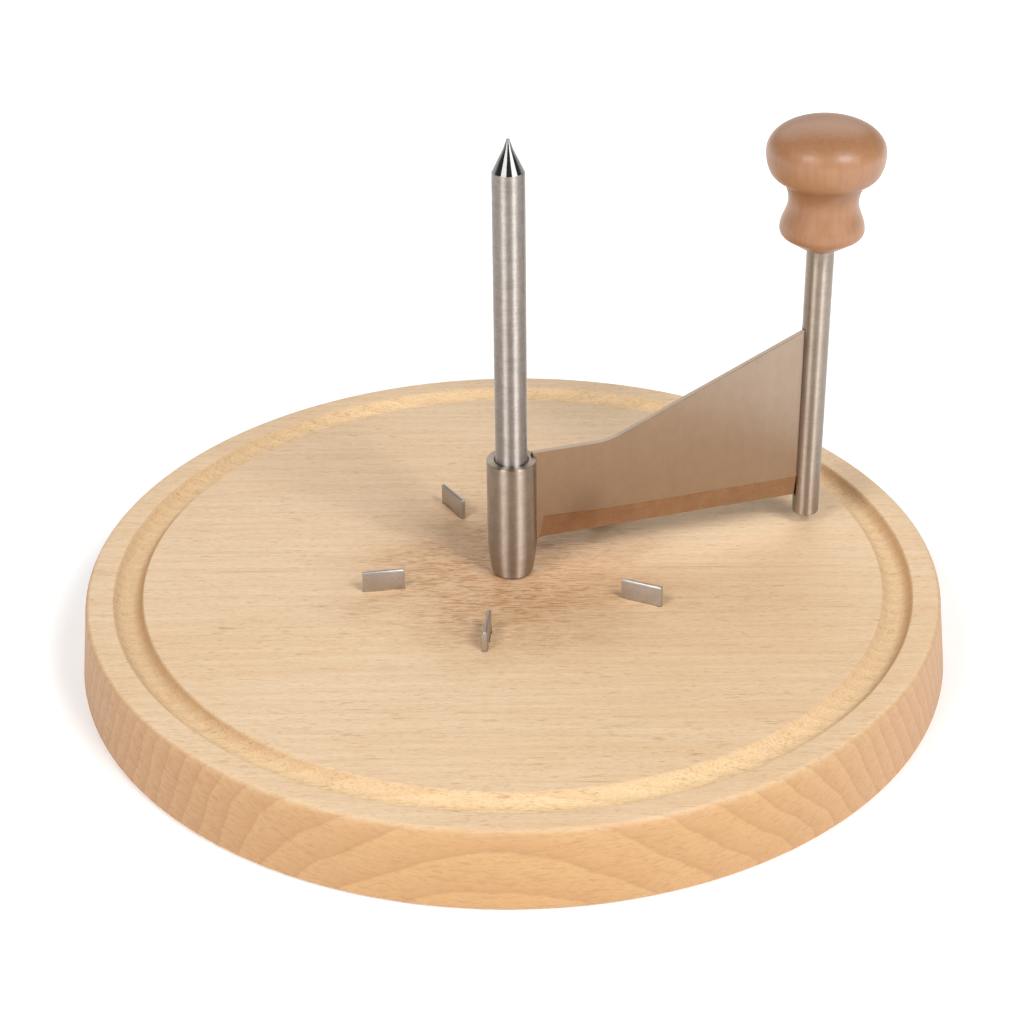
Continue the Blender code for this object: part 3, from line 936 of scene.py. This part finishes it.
@dataclass(frozen=True)
class Splinter:
    """A small torn fibre, lying mostly along the grain.

    Its lean is in degrees from upright, and its roll and its swing are in radians.
    """

    length: tuple[float, float] = (0.0006, 0.0019)
    root: tuple[float, float] = (0.00009, 0.0002)
    tip: float = 0.00002
    lean: tuple[float, float] = (58, 86)
    roll: float = 0.4
    swing: float = 0.5
    lift: float = 0.8
    stretch: Point = (0.8, 1.7, 1.0)

    def build(self, place: Vector, top: float, chance: random.Random) -> bpy.types.Object:
        """Makes one fibre.

        Args:
            place: where it lies.
            top: the height of the board's top.
            chance: the board's random numbers.

        Returns:
            The fibre.
        """
        Bench.clear()
        length = chance.uniform(*self.length)
        bpy.ops.mesh.primitive_cone_add(vertices=5, radius1=chance.uniform(*self.root), radius2=self.tip,
                                        depth=length, location=(0.0, 0.0, 0.0))
        piece = bpy.context.active_object
        lean = math.radians(chance.uniform(*self.lean))
        piece.rotation_euler = (chance.uniform(-self.roll, self.roll), lean * chance.choice((-1, 1)),
                                chance.uniform(-self.swing, self.swing))
        piece.location = (place.x, place.y, top + length * 0.5 * math.cos(lean) * self.lift)
        piece.scale = self.stretch
        return Bench.settle(piece)


def join(name: str, pieces: Sequence[bpy.types.Object]) -> bpy.types.Object:
    """Joins pieces into one.

    Args:
        name: the joined piece's name.
        pieces: the pieces.

    Returns:
        The joined piece.
    """
    Bench.take(pieces[0])
    for piece in pieces:
        piece.select_set(True)
    bpy.ops.object.join()
    joined = bpy.context.active_object
    joined.name = joined.data.name = name
    return joined


# ----------------------------------------------------------------------------------- holding plates


@dataclass
class HoldingPlates:
    """The small sheared plates that stand in the board, each twisted by its own few degrees."""

    length: float = 0.0108
    thickness: float = 0.0011
    edge: float = 0.00010
    corner: float = 0.0006
    twists: tuple[float, ...] = (1.5, 0.0, 4.2, -6.3, 5.0)

    @property
    def nodes(self) -> list[str]:
        """The frame's names of the plates."""
        return [f"holding_plate_{number}" for number in range(1, len(self.twists) + 1)]

    def place(self, node: str) -> tuple[Vector, float]:
        """Finds a plate.

        Args:
            node: the frame's name of the plate.

        Returns:
            Its middle, at the height 0, and its heading.
        """
        low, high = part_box(node)
        middle = (low + high) / 2
        twist = self.twists[self.nodes.index(node)]
        return Vector((middle.x, middle.y, 0.0)), math.atan2(middle.y, middle.x) + math.radians(twist)

    def plate(self, node: str) -> bpy.types.Object:
        """Makes one plate, its upper corners rounded and its edges broken.

        Args:
            node: the frame's name of the plate.

        Returns:
            The plate.
        """
        low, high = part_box(node)
        middle = (low + high) / 2
        half = self.length / 2
        piece = Bench.block(node + "_sheet", (-half, -self.thickness / 2, low.z),
                            (half, self.thickness / 2, high.z))
        bpy.ops.object.mode_set(mode="EDIT")
        bpy.ops.mesh.select_mode(type="EDGE")
        Bench.select(piece, lambda edge: all(v.co.z > middle.z for v in edge.verts)
                     and abs(edge.verts[0].co.x - edge.verts[1].co.x) < self.edge, "edges")
        bpy.ops.mesh.bevel(offset=self.corner, segments=5, affect="EDGES")
        bpy.ops.object.mode_set(mode="OBJECT")
        Bench.soften(piece, self.edge, 3)
        return Bench.stand(piece, *self.place(node))

    def build(self) -> None:
        """Makes the plates."""
        for node in self.nodes:
            heading = self.place(node)[1]
            steel = SteelFinish(node + "_steel", colour=(0.56, 0.52, 0.49), dull=(0.46, 0.42, 0.39),
                                roughness=0.44, spread=0.14, lay=Lay.LEVEL, line_pitch=0.16,
                                line_depth=0.003, heading=heading).material()
            Bench.finish(self.plate(node), "base", node, "plate_steel", steel)


# ------------------------------------------------------------------------------------------ spindle


@dataclass
class Spindle:
    """The pointed rod through the board, and the washer and nut that clamp it."""

    tip_length: float = 0.0081
    tip_rounding: float = 0.00045
    tip_flatness: float = 0.5
    cone_loops: tuple[float, ...] = (0.3, 0.6, 1.0)
    rod_loops: tuple[float, ...] = (0.00008, 0.02, 0.06)
    shank_radius: float = 0.0030
    seat_depth: float = 0.0070
    thread_pitch: float = 0.0010
    thread_depth: float = 0.00045
    thread_length: float = 0.0090
    chamfer: float = 0.0003
    end_chamfer: float = 0.0004
    thread_play: float = 0.0003
    crest_play: float = 0.00002
    washer_edge: float = 0.0002
    nut_relief: float = 0.0006
    nut_chamfer: float = 0.58
    nut_face: float = 0.97
    nut_girth: float = 1.02
    low: Vector = field(default_factory=lambda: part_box("spindle")[0])
    high: Vector = field(default_factory=lambda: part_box("spindle")[1])

    def section(self, board_top: float) -> Profile:
        """Draws the spindle's section.

        Args:
            board_top: the height of the board's top.

        Returns:
            Its points, from the spindle's point down to the end of its threaded shank.
        """
        radius, tip = self.high.x, self.high.z
        slope = math.atan2(radius, self.tip_length)
        blunt = self.tip_rounding
        profile = [(0.0, tip)]
        profile += [(blunt * math.sin(a), tip - blunt * (1 - math.cos(a)) * self.tip_flatness)
                    for a in (0.4, 0.8, math.pi / 2 - slope)]
        base = tip - self.tip_length
        profile += [(radius * share, tip - self.tip_length * share) for share in self.cone_loops]
        profile += [(radius, base - drop) for drop in self.rod_loops]
        shoulder = board_top - self.seat_depth
        profile += [(radius, shoulder + self.chamfer), (radius - self.chamfer, shoulder),
                    (self.shank_radius, shoulder)]
        end = self.low.z
        crest = self.shank_radius - self.crest_play
        turns = int(self.thread_length / self.thread_pitch)
        for turn in range(turns):
            height = end + self.end_chamfer + self.thread_pitch * (turns - turn)
            profile += [(crest, height), (crest - self.thread_depth, height - self.thread_pitch / 2)]
        return profile + [(crest, end + self.end_chamfer), (crest - self.end_chamfer, end), (0.0, end)]

    def build(self, board_top: float) -> None:
        """Turns the spindle and makes its washer and nut.

        Args:
            board_top: the height of the board's top.
        """
        spindle = Bench.lathe("pointed_spindle", self.section(board_top), 128)
        rod = SteelFinish("turned_spindle_steel", colour=(0.60, 0.548, 0.51), dull=(0.42, 0.375, 0.34),
                          roughness=0.50, spread=0.07, line_pitch=0.16, line_depth=0.0006,
                          streaking=0.97).material()
        bright = SteelFinish("polished_tip_steel", colour=(0.46, 0.46, 0.45), dull=(0.38, 0.38, 0.37),
                             roughness=0.08, spread=0.03, line_pitch=0.08, line_depth=0.0005).material()
        Bench.finish(spindle, "spindle", "spindle", "spindle_steel", rod, bright, smooth=25.0)
        base = self.high.z - self.tip_length
        for face in spindle.data.polygons:
            face.material_index = int(face.center.z > base)
        self.build_washer()
        self.build_nut()

    def build_washer(self) -> None:
        """Makes the flat washer, its edges broken by stamping."""
        low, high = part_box("spindle_washer")
        bore = self.shank_radius + self.thread_play
        edge, outer = self.washer_edge, high.x
        profile = [(bore, high.z), (outer - edge, high.z), (outer, high.z - edge), (outer, low.z + edge)]
        profile += [(outer - edge, low.z), (bore + edge, low.z), (bore, low.z + edge)]
        washer = Bench.lathe("stamped_washer", profile, 96, ring=True)
        zinc = SteelFinish("zinc_washer", colour=(0.60, 0.61, 0.63), dull=(0.46, 0.47, 0.49), roughness=0.34,
                           spread=0.16, line_pitch=0.3, line_depth=0.004).material()
        Bench.finish(washer, "base", "spindle_washer", "fastener_steel", zinc)

    def build_nut(self) -> None:
        """Makes the nut: a hexagon cut back by a cone at both faces, with a threaded bore."""
        low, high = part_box("spindle_nut")
        bore = self.shank_radius + self.thread_play
        corner = high.y
        Bench.clear()
        bpy.ops.mesh.primitive_cylinder_add(vertices=6, radius=corner, depth=high.z - low.z,
                                            location=(0.0, 0.0, (low.z + high.z) / 2))
        nut = bpy.context.active_object
        nut.name = nut.data.name = "hexagon_nut"
        Bench.settle(nut)
        flat = corner * math.cos(math.radians(30))
        chamfer = (corner - flat) * self.nut_chamfer
        face, girth = flat * self.nut_face, corner * self.nut_girth
        envelope = [(0.0, high.z), (face, high.z), (girth, high.z - chamfer), (girth, low.z + chamfer),
                    (face, low.z), (0.0, low.z)]
        Bench.cut(nut, Bench.lathe("nut_envelope", envelope, 96), "INTERSECT")
        height = high.z - low.z
        turns = round(height / self.thread_pitch)
        mouth = bore + self.nut_relief
        hole = [(0.0, high.z + MM), (mouth, high.z + MM), (mouth, high.z)]
        for turn in range(turns):
            level = high.z - height * turn / turns
            hole += [(bore, level - height * 0.25 / turns),
                     (bore + self.thread_depth, level - height * 0.75 / turns)]
        hole += [(mouth, low.z), (mouth, low.z - MM), (0.0, low.z - MM)]
        Bench.cut(nut, Bench.lathe("nut_hole", hole, 64))
        zinc = SteelFinish("zinc_nut", colour=(0.58, 0.59, 0.61), dull=(0.43, 0.44, 0.46), roughness=0.36,
                           spread=0.16, line_pitch=0.25, line_depth=0.004).material()
        Bench.finish(nut, "base", "spindle_nut", "fastener_steel", zinc)


# ------------------------------------------------------------------------------------------ scraper


@dataclass
class Scraper:
    """The sleeve, the blade and the post, with the ring in the post's neck."""

    sleeve_bore: float = 0.00435
    sleeve_taper: float = 0.0095
    sleeve_foot: float = 0.0053
    sleeve_edge: float = 0.00028
    sleeve_foot_rounding: float = 0.0005
    sleeve_loop: float = 0.006
    taper_steps: int = 24
    taper_power: float = 1.6
    slot_depth: float = 0.0012
    gap: float = 0.0003
    blade_thickness: float = 0.0015
    blade_edge: float = 0.0293
    blade_rise: float = 0.0011
    bend_reach: float = 0.0261
    bend_radius: float = 0.0140
    bevel_height: float = 0.0057
    bevel_start: float = 0.0018
    bevel_edge: float = 0.0010
    bevel_runout: float = 0.0008
    front_share: float = 0.9
    bevel_lean: float = 0.03
    stone_drop: float = 0.01
    stone_overrun: float = 0.002
    blade_rounding: float = 0.00009
    post_edge: float = 0.0006
    post_loops: tuple[float, ...] = (0.04, 0.01)
    neck_radius: float = 0.0025
    neck_edge: float = 0.0003
    ring_groove: float = 0.0019
    post: tuple[Vector, Vector] = field(default_factory=lambda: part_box("post"))
    sleeve: tuple[Vector, Vector] = field(default_factory=lambda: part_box("sleeve"))
    blade: tuple[Vector, Vector] = field(default_factory=lambda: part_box("blade"))

    @property
    def centre(self) -> Vector:
        """The middle of the post."""
        return (self.post[0] + self.post[1]) / 2

    @property
    def heading(self) -> float:
        """Which way the blade points, from +X."""
        return math.atan2(self.centre.y, self.centre.x)

    @property
    def reach(self) -> float:
        """How far the post stands from the spindle."""
        return math.hypot(self.centre.x, self.centre.y)

    @property
    def post_radius(self) -> float:
        """The post's radius."""
        return (self.post[1].x - self.post[0].x) / 2

    def build(self) -> None:
        """Makes the three welded pieces and dresses the ring."""
        self.build_sleeve()
        self.build_blade()
        self.build_post()
        ring = bpy.data.objects["retaining_ring"]
        dark = SteelFinish("phosphated_ring", colour=(0.33, 0.33, 0.34), dull=(0.20, 0.20, 0.21),
                           roughness=0.45, spread=0.15, line_pitch=0.3).material()
        ring.data.materials.clear()
        ring.data.materials.append(dark)

    def build_sleeve(self) -> None:
        """Turns the tapered sleeve and mills the slot for the blade."""
        low, high = self.sleeve
        outer, edge, foot = high.x, self.sleeve_edge, self.sleeve_foot_rounding
        profile = [(self.sleeve_bore, high.z - edge), (self.sleeve_bore + edge * 0.7, high.z)]
        profile += arc((outer - edge, high.z - edge), (edge, edge), 90, 0, 5)
        taper = low.z + self.sleeve_taper
        profile += [(outer, high.z - self.sleeve_loop), (outer, taper + self.sleeve_loop)]
        for step in range(self.taper_steps + 1):
            share = step / self.taper_steps
            profile.append((outer - (outer - self.sleeve_foot) * share**self.taper_power,
                            taper - (self.sleeve_taper - foot) * share))
        profile += arc((self.sleeve_foot - foot, low.z + foot), (foot, foot), -20, -90, 4)
        profile += [(self.sleeve_bore + edge, low.z), (self.sleeve_bore, low.z + edge)]
        sleeve = Bench.lathe("tapered_sleeve", profile, 144, ring=True)
        half = self.blade_thickness / 2 + self.gap * 0.5
        mill = Bench.block("sleeve_mill", (outer - self.slot_depth, -half, self.blade_edge - self.gap),
                           (2 * outer, half, high.z + MM))
        Bench.cut(sleeve, Bench.turn_to(mill, self.heading))
        steel = SteelFinish("satin_sleeve_steel", colour=(0.50, 0.42, 0.35), dull=(0.41, 0.335, 0.27),
                            roughness=0.43, spread=0.05, line_pitch=0.10, line_depth=0.0005,
                            streaking=0.98).material()
        Bench.finish(sleeve, "scraper", "sleeve", "sleeve_steel", steel, smooth=25.0)

    def build_blade(self) -> None:
        """Cuts the blade's outline from a flat sheet, bends its top line, and grinds its bevel."""
        foot, crown = self.blade_edge, self.blade[1].z
        level = self.sleeve[1].z + self.blade_rise
        start = self.sleeve[1].x - self.slot_depth + self.gap
        end = self.reach - self.post_radius + self.slot_depth - self.gap
        half = self.blade_thickness / 2
        blade = Bench.block("scraper_blade", (start, -half, foot), (end, half, level))
        bpy.ops.object.mode_set(mode="EDIT")
        bpy.ops.mesh.select_mode(type="VERT")
        bpy.ops.mesh.select_all(action="SELECT")
        bpy.ops.mesh.bisect(plane_co=(self.bend_reach, 0.0, 0.0), plane_no=(1.0, 0.0, 0.0))
        Bench.select(blade, lambda v: v.co.x > end - MM and v.co.z > level - MM, "verts")
        bpy.ops.transform.translate(value=(0.0, 0.0, crown - level))
        bpy.ops.mesh.select_mode(type="EDGE")
        Bench.select(blade, lambda e: all(abs(v.co.x - self.bend_reach) < NEAR and v.co.z > level - MM
                                          for v in e.verts), "edges")
        slope = math.atan2(crown - level, end - self.bend_reach)
        bpy.ops.mesh.bevel(offset=self.bend_radius * math.tan(slope / 2), segments=14, affect="EDGES")
        bpy.ops.object.mode_set(mode="OBJECT")
        tilt = math.atan2(self.blade_thickness - self.bevel_edge, self.bevel_height)
        top = self.bevel_height / math.cos(tilt) + self.blade_thickness
        begin = self.sleeve[1].x + self.bevel_start
        stone = Bench.block("grinding_stone", (begin, -4 * half, -self.stone_drop),
                            (end + self.stone_overrun, 0.0, top))
        bpy.ops.object.mode_set(mode="EDIT")
        bpy.ops.mesh.select_mode(type="VERT")
        Bench.select(stone, lambda v: v.co.x < (begin + end) / 2 and v.co.y < -half, "verts")
        bpy.ops.transform.translate(value=(-8 * self.bevel_runout, 0.0, 0.0))
        bpy.ops.object.mode_set(mode="OBJECT")
        stone.rotation_euler = (tilt, 0.0, 0.0)
        stone.location = (0.0, half - self.bevel_edge, foot)
        Bench.cut(blade, Bench.settle(stone))
        Bench.soften(blade, self.blade_rounding, 2, 9.0)
        Bench.turn_to(blade, self.heading)
        steel = SteelFinish("satin_blade_steel", colour=(0.430, 0.332, 0.255), dull=(0.395, 0.300, 0.226),
                            roughness=0.33, spread=0.02, lay=Lay.UPRIGHT, line_pitch=0.40,
                            line_depth=0.00003, soiling=0.06, heading=self.heading).material()
        # painted shade: the bevel's steel is darker and browner than the sheet's, standing in for the shaded
        # wood that it reflects; its lower roughness is the real ground finish
        ground = SteelFinish("ground_bevel_steel_painted_shade", colour=(0.42, 0.285, 0.195), dull=(0.33, 0.21, 0.135),
                             roughness=0.26, spread=0.03, lay=Lay.UPRIGHT, line_pitch=0.40,
                             line_depth=0.00005, soiling=0.06, heading=self.heading).material()
        Bench.finish(blade, "scraper", "blade", "blade_steel", steel, ground, smooth=3.5)
        face_out = Vector((math.sin(self.heading), -math.cos(self.heading), 0.0))
        for face in blade.data.polygons:
            leaning = face.normal.dot(face_out) > self.front_share and face.normal.z < -self.bevel_lean
            face.material_index = int(leaning)

    def build_post(self) -> None:
        """Turns the post with its neck, and mills the slot for the blade."""
        low, high = self.post
        radius, edge = self.post_radius, self.post_edge
        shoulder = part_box("knob")[0].z - self.gap
        ring_low, ring_high = (part.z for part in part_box("retaining_ring"))
        neck, groove, turned = self.neck_radius, self.ring_groove, self.neck_edge
        profile = [(0.0, high.z), (neck - turned, high.z), (neck, high.z - turned),
                   (neck, ring_high + self.gap), (groove, ring_high + self.gap),
                   (groove, ring_low - self.gap), (neck, ring_low - self.gap), (neck, shoulder),
                   (radius - turned, shoulder), (radius, shoulder - turned)]
        profile += [(radius, low.z + height) for height in self.post_loops]
        profile += arc((radius - edge, low.z + edge), (edge, edge), 0, -90, 8)
        profile.append((0.0, low.z))
        post = Bench.lathe("knob_post", profile, 128)
        half = self.blade_thickness / 2 + self.gap * 0.5
        Bench.cut(post, Bench.block("post_mill", (-2 * radius, -half, self.blade_edge - self.gap),
                                    (self.slot_depth - radius, half, self.blade[1].z + self.gap)))
        Bench.turn_to(post, self.heading, self.reach)
        steel = SteelFinish("drawn_post_steel", colour=(0.51, 0.435, 0.37), dull=(0.41, 0.34, 0.28),
                            roughness=0.40, spread=0.05, line_pitch=0.14, line_depth=0.0005,
                            streaking=0.98).material()
        Bench.finish(post, "scraper", "post", "post_steel", steel, smooth=25.0)


# --------------------------------------------------------------------------------------------- knob


@dataclass
class Knob:
    """The turned wooden knob with its blind bore, and the brass bush in it."""

    foot_radius: float = 0.0046
    foot_rise: float = 0.0028
    collar_radius: float = 0.01068
    collar_height: float = 0.0051
    neck_radius: float = 0.0088
    neck_height: float = 0.0126
    crease_radius: float = 0.0106
    crease_height: float = 0.0185
    crease_rounding: float = 0.2
    head_height: float = 0.0255
    fullness: float = 0.85
    crease_dip: float = 0.0003
    foot_chamfer: tuple[float, float] = (0.001, 0.0005)
    dome_steps: int = 28
    underside_steps: int = 19
    waist_steps: int = 12
    swell_steps: int = 16
    head_shade_drop: float = 0.0012
    bore: float = 0.0044
    bore_gap: float = 0.0003
    bore_chamfer: float = 0.0001
    low: Vector = field(default_factory=lambda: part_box("knob")[0])
    high: Vector = field(default_factory=lambda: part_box("knob")[1])

    def section(self) -> Profile:
        """Draws the knob's section.

        Returns:
            Its points, from its crown down to its foot and up its bore.
        """
        base = self.low.z
        head_radius = (self.high.x - self.low.x) / 2
        dome = self.high.z - base - self.head_height
        overhang = head_radius - self.crease_radius
        profile = []
        for step in range(self.dome_steps + 1):
            angle = math.pi / 2 * (1 - step / self.dome_steps)
            profile.append((head_radius * math.cos(angle)**self.fullness,
                            self.head_height + dome * math.sin(angle)))
        for step in range(1, self.underside_steps + 1):
            angle = math.radians(4 * step)
            drop = (self.head_height - self.crease_height) * math.sin(angle)
            profile.append((self.crease_radius + overhang * math.cos(angle)**self.fullness,
                            self.head_height - drop))
        waist = []
        for step in range(self.waist_steps + 1):
            share = self.crease_rounding + (1.0 - self.crease_rounding) * step / self.waist_steps
            waist.append((self.crease_radius - (self.crease_radius - self.neck_radius)
                          * math.sin(share * math.pi / 2),
                          self.crease_height + (self.neck_height - self.crease_height) * share))
        corner = (self.crease_radius, self.crease_height - self.crease_dip)
        profile += bend(profile[-1], corner, waist[0], 8)[1:-1] + waist
        for step in range(1, self.swell_steps + 1):
            share = step / self.swell_steps
            swell = 0.5 - 0.5 * math.cos(math.pi * share)
            profile.append((self.neck_radius + (self.collar_radius - self.neck_radius) * swell,
                            self.neck_height + (self.collar_height - self.neck_height) * share))
        rounding = self.collar_height - self.foot_rise
        profile += arc((self.collar_radius - rounding, self.collar_height), (rounding, rounding), -8, -60, 8)
        chamfer_out, chamfer_up = self.foot_chamfer
        profile += [(self.foot_radius + chamfer_out, chamfer_up), (self.foot_radius, 0.0)]
        profile = [(radius, base + height) for radius, height in profile]
        roof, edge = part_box("post")[1].z + self.bore_gap, self.bore_chamfer
        return profile + [(self.bore + edge, base), (self.bore, base + edge), (self.bore, roof), (0.0, roof)]

    def build(self) -> None:
        """Turns the knob, and dresses the bush."""
        middle = (self.low + self.high) / 2
        knob = Bench.lathe("turned_knob", self.section(), 160)
        knob.location = (middle.x, middle.y, 0.0)
        Bench.settle(knob)
        # the height of the painted shade under the head, a little below the crease
        head_shade_height = self.low.z + self.crease_height - self.head_shade_drop
        lacquer = LacquerFinish((middle.x, middle.y), head_shade_height).material()
        Bench.finish(knob, "knob", "knob", "knob_wood", lacquer, smooth=50.0)
        bush = bpy.data.objects["knob_bush"]
        brass = SteelFinish("turned_bush_brass", colour=(0.78, 0.58, 0.26), dull=(0.62, 0.43, 0.17),
                            roughness=0.30, spread=0.12).material()
        bush.data.materials.clear()
        bush.data.materials.append(brass)


# ------------------------------------------------------------------------------------------- studio


@dataclass(frozen=True)
class Softbox:
    """A soft rectangular light that faces the object.

    Its azimuth is in degrees, 0 behind the camera and 90 to the right, and its elevation too. Its size and
    its distance are in metres, and its power is in watts.
    """

    name: str
    azimuth: float
    elevation: float
    size: tuple[float, float]
    power: float
    distance: float = 2.0


@dataclass
class Studio:
    """The pale floor, the soft lights and the camera."""

    camera_place: Point = (0.0, -0.52888, 0.34761)
    camera_pitch: float = 30.346
    camera_roll: float = -0.634
    lens: float = 84.12
    floor_size: float = 6.0
    floor_drop: float = 0.0002
    backdrop: float = 0.75
    surround: float = 0.06
    skyline: tuple[float, float] = (0.10, 0.30)
    lights_aim: Point = (0.0, 0.0, 0.05)
    lights: tuple[Softbox, ...] = (
        Softbox("right_strip", 47.0, 24.0, (1.20, 0.80), 7.4),
        Softbox("left_strip", -34.0, 24.0, (1.20, 0.80), 6.0),
        Softbox("right_lamp", 42.0, 47.0, (0.60, 0.60), 21.0),
        Softbox("left_lamp", -44.0, 47.0, (0.60, 0.60), 15.0),
        Softbox("back_softbox", 180.0, 38.0, (2.4, 1.4), 15.5, distance=2.2),
    )

    def build(self) -> None:
        """Makes everything that isn't the object."""
        self.build_floor()
        self.build_world()
        for softbox in self.lights:
            self.build_light(softbox)
        self.build_camera()

    def build_floor(self) -> None:
        """Lays a wide floor just under the board."""
        Bench.clear()
        bpy.ops.mesh.primitive_plane_add(size=self.floor_size, location=(0.0, 0.0, -self.floor_drop))
        floor = bpy.context.active_object
        floor.name = "studio_floor"
        Bench.settle(floor)
        floor.data.materials.append(FloorFinish().material())

    def build_world(self) -> None:
        """Puts a white backdrop round the floor, under a dark ceiling."""
        paint = Paint("studio_surround", world=True)
        height = paint.axes(paint.place)[2]
        strength = self.backdrop + height.rises(*self.skyline) * (self.surround - self.backdrop)
        bpy.context.scene.world = paint.set(Color=(1.0, 1.0, 1.0), Strength=strength)

    def build_light(self, softbox: Softbox) -> None:
        """Adds one soft light.

        Args:
            softbox: what it is and where it stands.
        """
        around, up = math.radians(softbox.azimuth), math.radians(softbox.elevation)
        away = Vector((math.sin(around) * math.cos(up), -math.cos(around) * math.cos(up), math.sin(up)))
        light = bpy.data.lights.new(softbox.name, "AREA")
        light.shape = "RECTANGLE"
        light.size, light.size_y = softbox.size
        light.energy = softbox.power
        lamp = bpy.data.objects.new(softbox.name, light)
        bpy.context.scene.collection.objects.link(lamp)
        lamp.location = Vector(self.lights_aim) + away * softbox.distance
        lamp.rotation_euler = away.to_track_quat("Z", "Y").to_euler()

    def build_camera(self) -> None:
        """Sets up the camera, looking down on the board from the front."""
        data = bpy.data.cameras.new("camera")
        data.lens = self.lens
        data.clip_start = 0.01
        camera = bpy.data.objects.new("camera", data)
        bpy.context.scene.collection.objects.link(camera)
        tilt = Matrix.Rotation(math.radians(90.0 - self.camera_pitch), 4, "X")
        roll = Matrix.Rotation(math.radians(self.camera_roll), 4, "Z")
        camera.matrix_world = Matrix.Translation(self.camera_place) @ tilt @ roll
        bpy.context.scene.camera = camera
        bpy.context.scene.view_settings.view_transform = "Standard"


def main() -> None:
    """Loads the frame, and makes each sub-assembly round it."""
    logging.basicConfig(level=logging.INFO, format="%(message)s")
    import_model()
    board = Board()
    for maker, build in (("board", board.build), ("holding plates", HoldingPlates().build),
                         ("spindle", lambda: Spindle().build(board.high.z)), ("scraper", Scraper().build),
                         ("knob", Knob().build), ("studio", Studio().build)):
        build()
        LOG.info("made the %s", maker)


if __name__ == "__main__":
    main()
